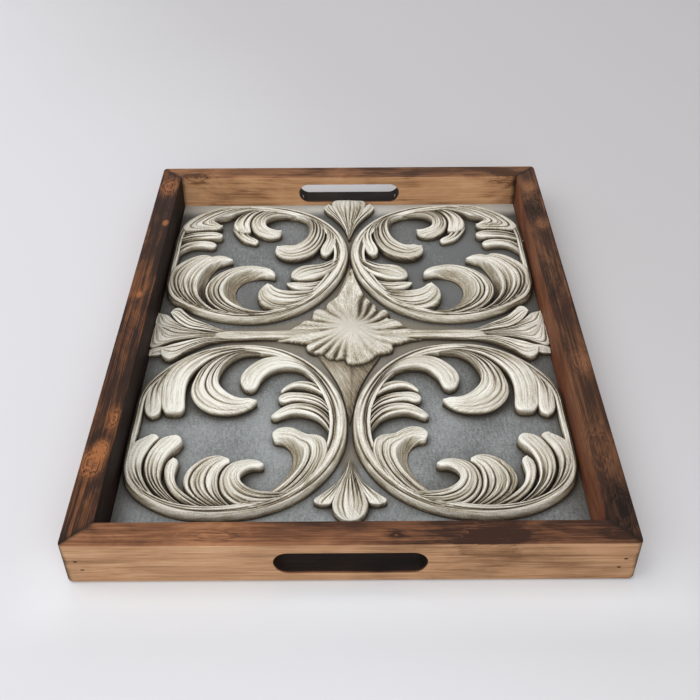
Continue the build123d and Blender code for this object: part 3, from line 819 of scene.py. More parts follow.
@dataclass(frozen=True)
class Leaf:
    """One leaf of a moulding: a carved surface between two edges that meet at its tip, in millimetres."""
    name: str
    height: float
    outer: Points
    inner: Points
    strands: int = 4
    scoop: float = 0.0        # share of the width that is hollowed on the inner side
    root: float = 6.6         # height where it leaves its stem
    depth: float = 1.8        # how deep the cuts between its strands are
    reach: float = 0.8        # share of the length that the cuts run
    start: float = 0.0        # share of the length over which the cuts deepen from nothing
    fall: float = 0.14        # how far it sinks from the crest to the outer edge, as a share of its height
    lean: Point = (0.5, 0.5)  # how far the walls' feet stand out under the inner and outer edges
    droop: float = 1.2        # how far the tip sinks
    lip: float = 2.5          # how round the edges are
    tint: float = 0.06        # how much glaze is left on it all over
    rows: int = 88
    steps: int = 46

    SCOOP_STEPS = 12
    RISEN = 0.42              # share of the length by which the leaf has its full height
    SINKING = 0.72            # share of the length at which the tip starts to sink
    SKIRT = 4.0               # how much further the paint's streaks run down a wall, in millimetres
    WALL_GLAZE_AND_SHADE = 0.8          # how dark a wall's foot is: glazing and painted shade together

    def mirrored(self) -> "Leaf":
        """The same leaf with left and right swapped."""
        return replace(self, outer=swapped(self.outer), inner=swapped(self.inner))

    @classmethod
    def blade(cls, name: str, height: float, edge: Points, **rest: Any) -> "Leaf":
        """A leaf that is the same on both sides of its middle.

        Args:
            name: its name.
            height: its height, in millimetres.
            edge: its right edge.
            rest: its other sizes.

        Returns:
            The leaf.
        """
        return cls(name, height, edge, swapped(edge), **rest)

    def build(self, shell: Shell, fit: Callable[[np.ndarray], np.ndarray], seed: int = 0) -> None:
        """Adds the leaf to a mesh.

        Args:
            shell: the mesh.
            fit: moves drawing points to the panel and keeps them inside the rails.
            seed: makes its strands unlike any other leaf's.
        """
        t = 1 - (1 - np.linspace(0, 1, self.rows)) ** 1.4
        outer = spaced(follow(self.outer), t)
        inner = spaced(follow(self.inner), t)
        width = np.linalg.norm(outer - inner, axis=1)
        crest = self.scoop * smooth(t, 0.02, 0.3) * (1 - smooth(t, 0.80, 0.99))
        s = np.linspace(0, 1, self.SCOOP_STEPS, endpoint=False)
        u = np.linspace(0, 1, self.steps + 1)
        across = np.hstack([crest[:, None] * s[None], crest[:, None] + (1 - crest[:, None]) * u[None]])
        height, hollow = self.surface(t, width, crest, s, u, seed)
        flat = inner[:, None] * (1 - across[..., None]) + outer[:, None] * across[..., None]
        run = np.concatenate([[0], np.cumsum(np.linalg.norm(np.diff(outer + inner, axis=0), axis=1) / 2)])
        foot = self.foot(inner, outer, self.lean)
        rows = np.concatenate([foot[:, :1], np.dstack([flat, height]), foot[:, 1:]], axis=1)
        rows[..., :2] = fit(rows[..., :2])
        flow = self.streaks(run + 37.0 * seed, across * width[:, None], width)
        wall = np.full((len(t), 1), self.WALL_GLAZE_AND_SHADE)
        shell.add(rows, flow, np.hstack([wall, hollow, wall]))

    def surface(self, t: np.ndarray, width: np.ndarray, crest: np.ndarray, s: np.ndarray, u: np.ndarray,
                seed: int) -> tuple[np.ndarray, np.ndarray]:
        """The top surface.

        Args:
            t: shares of the way from root to tip.
            width: the leaf's width at each.
            crest: where the crest stands across it at each.
            s: steps from the inner edge to the crest.
            u: steps from the crest to the outer edge.
            seed: makes the strands unlike any other leaf's.

        Returns:
            The heights and how dark the paint is at each place, from glazing, painted shade and painted
            highlight.
        """
        rise = self.root + (self.height - self.root) * smooth(t, 0.0, self.RISEN)
        rise = rise - self.droop * smooth(t, self.SINKING, 1.0)
        dug = (crest / max(self.scoop, 1e-6))[:, None]
        low = 0.12 + 0.88 * s[None] ** 1.8
        scoop = rise[:, None] * (1 - dug * (1 - low))
        # The scoop's darkness is painted shade, strongest where it is lowest, at the inner edge.
        scoop_shade = 0.04 + dug * (0.36 + 0.2 * (1 - low)) * (1 - 0.55 * smooth(s[None], 0.8, 1.0))
        rng = np.random.default_rng(seed + 100)
        cuts = Grooves.cut(self.strands, self.reach, self.depth, rng)
        deep, dark = cuts.carve(t, u, width * (1 - crest), self.strands)
        if self.start:
            grown = smooth(t, 0.0, self.start)[:, None]
            deep, dark = deep * grown, dark * grown
        ridged = rise[:, None] * (1 - self.fall * u[None] ** 1.6) - deep
        # Glazing in the cuts; painted shade darkens the top towards its outer edge, where it falls away, and
        # near the root.
        shaded_root = 0.14 * (1 - smooth(t, 0.0, 0.4))[:, None]
        ridged_dark = self.tint + 0.86 * dark + 0.16 * u[None] ** 2 + shaded_root
        height, hollow = np.hstack([scoop, ridged]), np.hstack([scoop_shade, ridged_dark])
        across = np.hstack([crest[:, None] * s[None], crest[:, None] + (1 - crest[:, None]) * u[None]])
        radius = np.minimum(self.lip, 0.42 * width)[:, None] + 1e-6
        outside = np.clip((1 - across) * width[:, None] / radius, 0, 1)
        inside = np.clip(across * width[:, None] / radius + 2 * dug, 0, 1)
        # Rolled edges: the top sinks over each edge, with a painted highlight along the rim and painted shade
        # where the edge turns down.
        for edge in (outside, inside):
            turned = rolled(edge)
            height = height - np.minimum(0.85 * self.lip, 0.34 * height) * turned
            hollow = hollow - 0.10 * smooth(edge, 1.0, 0.55) + 0.34 * turned ** 2
        return height, np.clip(hollow, 0, 1)

    @classmethod
    def streaks(cls, run: np.ndarray, off: np.ndarray, width: np.ndarray) -> np.ndarray:
        """What the paint reads along and across the strands, walls included.

        Args:
            run: how far along each row is.
            off: how far across each corner of its top is.
            width: how wide each row is.

        Returns:
            (rows, corners, 2) values in millimetres.
        """
        start = np.full((len(run), 1), -cls.SKIRT)
        sides = np.hstack([start, off, width[:, None] + cls.SKIRT])
        return np.stack([np.broadcast_to(run[:, None], sides.shape), sides], axis=2)

    @staticmethod
    def foot(inner: np.ndarray, outer: np.ndarray, lean: Point) -> np.ndarray:
        """The two bottom corners of each row.

        Args:
            inner: the inner edge.
            outer: the outer edge.
            lean: how far each stands out under its edge; less than 0 undercuts the wall.

        Returns:
            (rows, 2, 3) corners on the panel.
        """
        gap = outer - inner
        span = np.linalg.norm(gap, axis=1)
        unit = gap / np.maximum(span, 1e-6)[:, None]
        share = np.minimum(1.0, span / 12.0)[:, None]
        ground = np.zeros((len(gap), 1))
        return np.stack([np.hstack([inner - unit * lean[0] * share, ground]),
                         np.hstack([outer + unit * lean[1] * share, ground])], axis=1)


@dataclass(frozen=True)
class RingBand:
    """The stem that closes a scroll: a band of strands that rolls over to the panel on its outer side."""
    outer: Points
    mean: float = 9.4
    swing: float = 3.4
    height: float = 7.6
    strands: int = 5
    roll: float = 4.2         # how round the outer side is

    ROWS = 280
    STEPS = 40
    AROUND = 86               # about the ring's radius, in millimetres

    def build(self, shell: Shell, fit: Callable[[np.ndarray], np.ndarray]) -> None:
        """Adds the band to a mesh.

        Args:
            shell: the mesh.
            fit: moves drawing points to the panel and keeps them inside the rails.
        """
        t = np.linspace(0, 1, self.ROWS, endpoint=False)
        outer = spaced(follow(self.outer, closed=True), t)
        reach = np.linalg.norm(outer, axis=1)
        band = self.mean - self.swing * outer[:, 0] / reach
        inner = outer * (1 - band / reach)[:, None]
        x = np.linspace(0, 1, self.STEPS + 1)
        spacing = (band / self.strands)[:, None]
        deep, dark = np.zeros((len(t), len(x))), np.zeros((len(t), len(x)))
        for k in range(1, self.strands):
            place = k / self.strands + 0.05 * np.sin(2 * math.pi * (2 * t + 0.37 * k))
            off = np.abs((x[None] - place[:, None]) * band[:, None])
            worn = (0.55 + 0.45 * np.sin(2 * math.pi * (3 * t + 0.23 * k)))[:, None]
            narrow, broad = np.exp(-(off / Grooves.KERF) ** 2), np.exp(-(off / (0.4 * spacing)) ** 2)
            deep += np.minimum(1.5, 0.55 * spacing) * (0.6 * narrow + 0.4 * broad) * worn
            dark = np.maximum(dark, (0.8 * narrow + 0.2 * broad) * worn)
        edge = np.clip((1 - x[None]) * band[:, None] / np.minimum(self.roll, 0.6 * band)[:, None], 0, 1)
        turned = rolled(edge)
        height = self.height * (0.84 + 0.16 * np.sqrt(x[None]) - 0.62 * turned) - deep * (0.35 + 0.65 * edge)
        # Glazing in the cuts, and painted shade where the outer side rolls over to the panel.
        hollow = np.clip(0.10 + 0.85 * dark + 0.32 * np.sqrt(turned), 0, 1)
        flat = inner[:, None] * (1 - x[None, :, None]) + outer[:, None] * x[None, :, None]
        foot = Leaf.foot(inner, outer, (0.3, 0.6))
        rows = np.concatenate([foot[:, :1], np.dstack([flat, height]), foot[:, 1:]], axis=1)
        rows[..., :2] = fit(rows[..., :2])
        run = np.abs(t - 0.5) * 2 * math.pi * self.AROUND
        flow = Leaf.streaks(run, x[None] * band[:, None], band)
        wall = np.full((len(t), 1), Leaf.WALL_GLAZE_AND_SHADE)
        shell.add(rows, flow, np.hstack([wall, hollow, wall]), round_trip=True)


FRONT_RING: Points = (
    (-77, -8), (-74, -28), (-66, -47), (-54, -63.5), (-38, -76.5), (-20, -85), (0, -89), (22, -89),
    (42, -84.5), (58, -76), (70, -65), (77.5, -50), (79.5, -25), (79.5, 5), (78.5, 32), (71, 50), (57, 67),
    (40, 80), (20, 87.5), (-2, 88.5), (-24, 83.5), (-43, 72), (-58, 56), (-69, 36), (-75.5, 15),
)
BACK_RING: Points = (
    (-78, 5), (-73, -20), (-63, -43), (-49, -62.5), (-32, -76), (-12, -84.5), (8, -86), (28, -82.5),
    (45, -75.5), (60, -66), (72, -55), (78, -40), (79.5, -15), (79.5, 15), (79, 40), (76, 58), (68, 71),
    (56, 82), (40, 89.5), (20, 92), (-5, 90), (-28, 84), (-46, 74), (-60, 60), (-70, 44), (-76, 26),
)
FRONT_LEAVES: tuple[Leaf, ...] = (
    Leaf("crest_hook", 8.8,
         ((-67, 15), (-62, 34), (-54, 50), (-46, 60.5), (-38, 68), (-29, 71.8), (-20, 72.3), (-10.5, 69.5),
          (-3, 63), (2.5, 55), (4.6, 47.5), (3, 40.5), (0, 35.5), (-4, 33.5)),
         ((-66, 8), (-62, 26), (-55, 41), (-48, 51), (-40, 57), (-30, 59), (-22, 57), (-16, 52), (-12, 46),
          (-10, 40), (-8, 35.5), (-4, 33.5)),
         strands=4, reach=0.55, lean=(-0.6, 0.4)),
    Leaf("upper_finger", 7.0,
         ((-70, 12), (-64, 27), (-57, 38), (-50, 43.5), (-42, 45), (-34, 42.5), (-29, 38), (-27, 34),
          (-28, 31.5)),
         ((-68, 12), (-62, 24), (-55, 31), (-47, 36), (-38, 38), (-32, 35), (-28, 31.5)),
         strands=2),
    Leaf("middle_finger", 8.2,
         ((-70, 0), (-65, 14), (-57, 25), (-48, 29.8), (-39, 31), (-31.5, 31), (-27.5, 29), (-25.6, 25.5),
          (-27, 21.5)),
         ((-69, -2), (-63, 9), (-55, 16.5), (-46, 20), (-37, 21), (-31, 19.8), (-27, 21.5)),
         strands=3),
    Leaf("lower_finger", 8.6,
         ((-70, -12), (-66, 2), (-60, 11), (-52, 17), (-44, 19), (-36, 18.2), (-29, 14.5), (-23.5, 9.5),
          (-21.2, 5.8), (-23.5, 3.2)),
         ((-66, -16), (-61, -5), (-54, 3), (-45, 7.2), (-37, 7.8), (-30, 5.3), (-26, 3.4), (-23.5, 3.2)),
         strands=3, lean=(-0.8, 0.3)),
    Leaf("side_leaf", 8.8,
         ((4, -85.5), (-13, -83.5), (-26, -79.5), (-38, -73.5), (-48, -64.5), (-55.5, -54), (-60.5, -43),
          (-63.3, -33), (-63.3, -25), (-61, -18), (-56, -14.5), (-48.5, -13.3), (-43, -9.7), (-38, -6.5),
          (-32, -5.5), (-27, -7), (-23.5, -11), (-23.8, -16)),
         ((4, -80), (-12, -74), (-22, -66), (-29, -58.5), (-35, -50), (-38.5, -40), (-38.5, -31),
          (-35.5, -24), (-30, -20), (-25.5, -19.3), (-23.8, -16)),
         strands=4, scoop=0.36, reach=0.8),
    Leaf("foot_curl", 9.6,
         ((-58, -55), (-48, -66), (-36, -75.5), (-22, -81.5), (-8, -82), (3, -76), (9, -67.5), (11, -57),
          (9, -48), (4.5, -41.5), (-2.5, -38), (-9.5, -36.8), (-15.5, -38.3), (-18.8, -41.3), (-19.3, -44)),
         ((-54, -56), (-46, -63), (-35, -68.5), (-24, -69.5), (-14, -67.5), (-8, -63.5), (-4.5, -58.5),
          (-4.5, -53), (-7.5, -48.8), (-12, -46.4), (-16.5, -46), (-19.3, -44)),
         strands=5, root=6.0, reach=0.78, fall=0.3, lean=(-1.0, 0.5)),
    Leaf("foot_leaf", 8.4,
         ((-8, -86), (10, -83), (22, -76.5), (31, -68), (35, -58), (33.5, -49), (29, -42), (22.5, -36),
          (15, -33.3), (9, -34.5), (5, -38)),
         ((-12, -85), (0, -80), (8, -71), (11, -60), (10.5, -50), (7, -43), (4.5, -40.5), (5, -38)),
         strands=5, reach=0.85),
    Leaf("corner_finger", 7.6,
         ((10, -86), (28, -79), (40, -69.5), (46, -60), (49, -50), (49.5, -43), (48, -38), (44.5, -35.5)),
         ((4, -84), (20, -78), (31, -70), (38, -62), (41, -53), (40.8, -45), (40.3, -40), (41.5, -36.8),
          (44.5, -35.5)),
         strands=2),
    Leaf("corner_leaf", 9.2,
         ((24, -86), (42, -77), (55, -65), (61.5, -53), (63.5, -42), (62.5, -32), (59.5, -24), (56, -17.5),
          (50.5, -14.5), (45, -14.8)),
         ((18, -85), (34, -78), (45, -67), (50, -56), (50.5, -46), (49, -38), (46, -31), (42, -25),
          (40, -20.5), (41.5, -16.5), (45, -14.8)),
         strands=4, reach=0.75),
    Leaf("edge_leaf", 8.0,
         ((40, -81.5), (58, -71), (69, -58), (76, -44), (78, -32), (76, -22.5), (72.5, -18), (67.5, -14.5),
          (63, -12.5)),
         ((34, -83), (50, -73), (60, -60), (64.5, -48), (65, -38), (62.5, -28), (59.5, -21), (57, -16),
          (59, -13), (63, -12.5)),
         strands=3),
    Leaf("shoulder_wave", 9.0,
         ((-30, 80.5), (0, 86), (20, 85), (38, 78.5), (52, 68), (60, 55), (62.5, 42), (62, 28), (60, 16),
          (56, 10.3), (51, 9.3)),
         ((-30, 77.5), (0, 80), (14, 77), (26, 71), (36, 60.5), (42, 49), (44, 37), (43.5, 25), (42.8, 13),
          (45, 10), (51, 9.3)),
         strands=4, reach=0.72, lean=(-0.6, 0.4)),
    Leaf("shoulder_finger", 7.8,
         ((30, 82), (45, 74.5), (58, 62.5), (67, 50), (72.5, 36), (73.5, 24), (72.5, 14), (70, 9),
          (66, 6.3)),
         ((30, 80), (44, 73), (54, 62), (60, 50), (62, 38), (61, 26), (59.8, 16), (61, 9.5), (66, 6.3)),
         strands=3),
    Leaf("heart_hook", 9.4,
         ((-38, 72.5), (-20, 80), (-6, 81.5), (8, 80), (20, 74), (30, 65), (36, 56), (39, 46), (40.5, 36),
          (39.5, 27), (35, 18.5), (27, 11), (18, 8), (8, 8), (0, 10.5), (-6, 15), (-10.2, 21)),
         ((-36, 71), (-28, 75), (-18, 77.5), (-8, 77.5), (4, 76), (12, 70), (18, 60), (20.5, 50),
          (19.5, 40), (14, 31.5), (8, 26.5), (2, 24.2), (-5, 23.8), (-10.2, 21)),
         strands=4, root=4.0, reach=0.9, lean=(-0.8, -2.6)),
)
BACK_LEAVES: tuple[Leaf, ...] = (
    Leaf("heart_scroll", 9.0,
         ((-8, 84), (-22, 82), (-34, 77), (-45, 69), (-52, 60), (-56, 50), (-57, 38), (-55.5, 27),
          (-52, 17), (-46, 8), (-38, 2.5), (-29, 0.3), (-21, 2), (-15, 7), (-12.3, 14), (-13.5, 20)),
         ((-4, 71), (-12, 72.5), (-24, 72.5), (-34, 69.5), (-40, 63), (-41.5, 54), (-41, 45), (-39, 36),
          (-35, 28), (-29, 22.5), (-21, 21), (-13.5, 20)),
         strands=5, root=4.4, scoop=0.16, reach=0.95, lean=(-0.6, -1.2)),
    Leaf("side_finger", 8.0,
         ((-38, 76), (-50, 67), (-60.5, 54), (-66, 43), (-67.5, 31), (-66, 20), (-62.5, 11), (-58.5, 6.5)),
         ((-36, 74), (-47, 65), (-55, 54), (-58, 42), (-57.5, 30), (-54.5, 21), (-52.8, 14), (-54.5, 8.8),
          (-58.5, 6.5)),
         strands=3),
    Leaf("eye_curl", 9.8,
         ((-32, 83), (-10, 86), (4, 80), (12, 68), (12.5, 56), (8, 45), (0, 38.5), (-8, 36.5), (-15, 39.5),
          (-17, 45)),
         ((-30, 72), (-13, 71.5), (-4, 66), (-1.5, 58), (-4, 50), (-10, 46.5), (-17, 45)),
         strands=4, fall=0.4, reach=0.8, lean=(-0.8, 0.3)),
    Leaf("crown_leaf", 8.2,
         ((0, 88), (14, 83), (21, 77), (26, 69), (28.5, 60), (28, 54), (25, 48.5), (20, 45), (15, 44)),
         ((-4, 86), (6, 79), (12, 69), (13.5, 59), (12.5, 51), (12, 46), (15, 44)),
         strands=3),
    Leaf("under_leaf", 5.8,
         ((24, 68), (29, 56), (25, 44), (17, 33), (6, 28)),
         ((14, 62), (16, 50), (12, 40), (4, 33), (6, 28)),
         strands=3, root=4.6),
    Leaf("corner_hook", 8.8,
         ((-14, 86), (8, 90), (28, 89), (46, 84), (62, 74), (72, 62), (77, 50), (73, 45.5), (64, 46),
          (53, 48.5), (43, 50), (38.5, 55)),
         ((-14, 84), (0, 84), (14, 81), (26, 76), (36, 70), (44, 67), (47, 63.5), (43, 59.5), (38.5, 55)),
         strands=5, reach=1.1),
    Leaf("corner_finger", 8.2,
         ((79, 38), (70, 43), (60, 45.5), (50, 46), (42, 45), (38, 42.5), (37, 39.5)),
         ((79, 27), (70, 31.5), (60, 33.5), (50, 34), (42, 34.5), (38, 36.5), (37, 39.5)),
         strands=3, reach=0.85),
    Leaf("edge_finger", 6.8,
         ((78, 12), (76, 22), (70, 29), (60, 32.5), (50, 32.5), (44, 30.5), (41.5, 26)),
         ((75, 4), (72, 14), (64, 21.5), (54, 23), (46, 21.5), (43, 22.5), (41.5, 26)),
         strands=2),
    Leaf("upper_lobe", 8.6,
         ((-74, 20), (-68, 6), (-60, -3), (-52, -7.5), (-44, -8.3), (-37, -10), (-31.5, -14.5),
          (-28.3, -20), (-28.5, -25.5), (-32, -29.5)),
         ((-74, 4), (-70, -8), (-64, -18), (-57, -25), (-49, -29.5), (-42, -31), (-36, -31), (-32, -29.5)),
         strands=4),
    Leaf("under_lobe", 6.0,
         ((-70, -14), (-62, -24), (-52, -30), (-42, -32), (-33, -31), (-26, -31.5), (-24.8, -33.5)),
         ((-66, -26), (-58, -36), (-50, -41), (-42, -43.5), (-34, -42), (-28, -38), (-24.8, -33.5)),
         strands=3, root=4.4),
    Leaf("foot_leaf", 8.8,
         ((-60, -40.5), (-51, -55), (-42, -64.5), (-32, -71), (-22, -73), (-12, -70.3), (-5.5, -64),
          (-2, -56), (-1.8, -47), (-4.5, -40.5), (-8.5, -36.7)),
         ((-60, -36), (-52, -43.5), (-45, -47.3), (-37, -48.6), (-28, -48.4), (-20, -46.4), (-15.5, -42.5),
          (-12.5, -38.5), (-8.5, -36.7)),
         strands=5, reach=0.85),
    Leaf("foot_hook", 9.4,
         ((-38, -68.5), (-28, -75), (-15, -80.5), (0, -82.3), (14, -80.3), (28, -73.8), (37, -65.5),
          (42.8, -54), (43.8, -42), (40.3, -31), (34, -22), (26, -15.5), (16, -11), (7, -9.6), (-2, -11),
          (-10, -14.5), (-14.3, -20.5), (-14.5, -26)),
         ((-35, -66.5), (-20, -73.5), (-6, -73), (6, -67), (14, -58), (18, -48), (18, -39), (14.5, -31),
          (8, -25.5), (0, -23.5), (-8, -23.5), (-14.5, -26)),
         strands=4, scoop=0.42, reach=0.85),
    Leaf("outer_leaf", 9.0,
         ((12, -84), (30, -80), (49, -71.5), (63, -59), (73, -43), (77, -28), (76, -16), (72, -8), (66, -1),
          (60, 4), (54, 7), (48, 7.6), (43.5, 5.3), (39, 7), (33, 6.5), (27.5, 3.5), (24, -1.3)),
         ((8, -84), (24, -79), (36, -69), (43, -58), (45.7, -46), (45.5, -34), (44, -24), (41, -14),
          (36, -6.5), (30, -2.8), (24, -1.3)),
         strands=6, scoop=0.18, reach=0.85),
)
FLUTE = {"root": 3.4, "depth": 1.0, "reach": 1.05, "fall": 0.05, "lean": (0.2, 0.2), "droop": 0.8, "lip": 1.1,
         "tint": 0.0, "rows": 64, "steps": 34}
SIDE_FAN: tuple[Leaf, ...] = (
    Leaf("stalk", 4.9,
         ((24, 5), (45, 3.6), (70, 2.4), (98, 2.6), (128, -1.5)),
         ((24, -7), (45, -6.4), (70, -5.8), (98, -6.8), (128, -1.5)),
         strands=2, **{**FLUTE, "depth": 0.35, "root": 4.6, "droop": 4.0, "tint": 0.2}),
    Leaf("wall_petal", 5.4,
         ((100, 1.5), (120, 3), (134, 9.5), (142, 15), (150, 24), (158.5, 27.5)),
         ((100, 0), (120, 0), (134, 2), (146, 6), (158.5, 11), (158.5, 27.5)),
         strands=4, **FLUTE),
    Leaf("middle_petal", 5.8,
         ((92, 1), (125, 1), (142, 5), (158.5, 13)),
         ((92, -5), (125, -6), (140, -10), (158.5, -18), (158.5, 13)),
         strands=6, **FLUTE),
    Leaf("low_petal", 4.4,
         ((112, -9), (130, -15), (145, -24), (158.5, -26)),
         ((112, -6), (130, -9), (145, -15), (158.5, -19), (158.5, -26)),
         strands=2, **FLUTE),
    Leaf("top_petal", 6.8,
         ((92, 2.4), (110, 7.5), (120, 12.5), (130, 19), (136, 26), (140, 31), (143, 32.3), (146, 30.5),
          (148, 26)),
         ((92, 1), (110, 1.8), (122, 3.5), (130, 5.5), (137, 10), (141, 14), (145, 20), (148, 26)),
         strands=4, **FLUTE),
    Leaf("bottom_petal", 6.8,
         ((92, -6.2), (110, -10.5), (120, -16), (130, -24), (135, -30), (140, -33), (144, -32),
          (148, -27.5), (149.3, -20)),
         ((92, -4.5), (112, -6.5), (124, -9.5), (134, -13), (142, -16), (149.3, -20)),
         strands=4, **FLUTE),
)
FRONT_FAN: tuple[Leaf, ...] = (
    Leaf("side_petal", 6.0,
         ((1.0, -141), (4, -152), (9, -163), (15, -170), (21, -175.5), (24.5, -178.5), (23.5, -181),
          (19, -182.8)),
         ((0.4, -145), (3, -156), (7, -168), (11, -178), (13, -182), (19, -182.8)),
         strands=4, **FLUTE),
    Leaf("middle_petal", 6.6,
         ((0.9, -140), (3.5, -155), (7.5, -167), (11, -178), (12, -184), (10, -191), (5, -196),
          (0, -197.3)),
         ((-0.6, -140), (-3.5, -155), (-7.5, -167), (-11, -178), (-12, -184), (-10, -191), (-5, -196),
          (0, -197.3)),
         strands=7, **FLUTE),
)
BACK_FAN: tuple[Leaf, ...] = (
    Leaf("side_petal", 6.0,
         ((0.4, 139), (6, 157), (14, 172), (21, 182), (24, 190), (20, 196)),
         ((-0.5, 148), (6, 168), (12, 182), (16, 192), (20, 196)),
         strands=4, **FLUTE),
    Leaf("middle_petal", 6.6,
         ((0.5, 137), (4, 155), (11, 175), (16, 190), (15, 199), (0, 201.5)),
         ((-0.5, 137), (-4, 155), (-11, 175), (-16, 190), (-15, 199), (0, 201.5)),
         strands=8, **FLUTE),
)
BACK_SPUR = Leaf.blade("back_spur", 2.2,
           ((15, 36), (12.4, 46), (9.6, 56), (6.8, 66), (4.2, 76), (2.3, 86), (0, 97)),
           strands=2, **{**FLUTE, "root": 2.0, "depth": 0.2, "droop": 0.6, "tint": 0.5})
FRONT_SPUR = Leaf.blade("front_spur", 1.9,
           ((27, -20), (22, -32), (16, -44), (10.5, -57), (6, -71), (3, -88), (0, -104)),
           strands=2, **{**FLUTE, "root": 1.7, "depth": 0.2, "droop": 0.5, "tint": 0.5})


class Hand(Enum):
    """Which half of the tray a moulding is on."""
    RIGHT = 1
    LEFT = -1


@dataclass(frozen=True)
class Fold:
    """A crease between two of the rosette's petals: its bearing in degrees and its depth in millimetres."""
    bearing: float
    depth: float


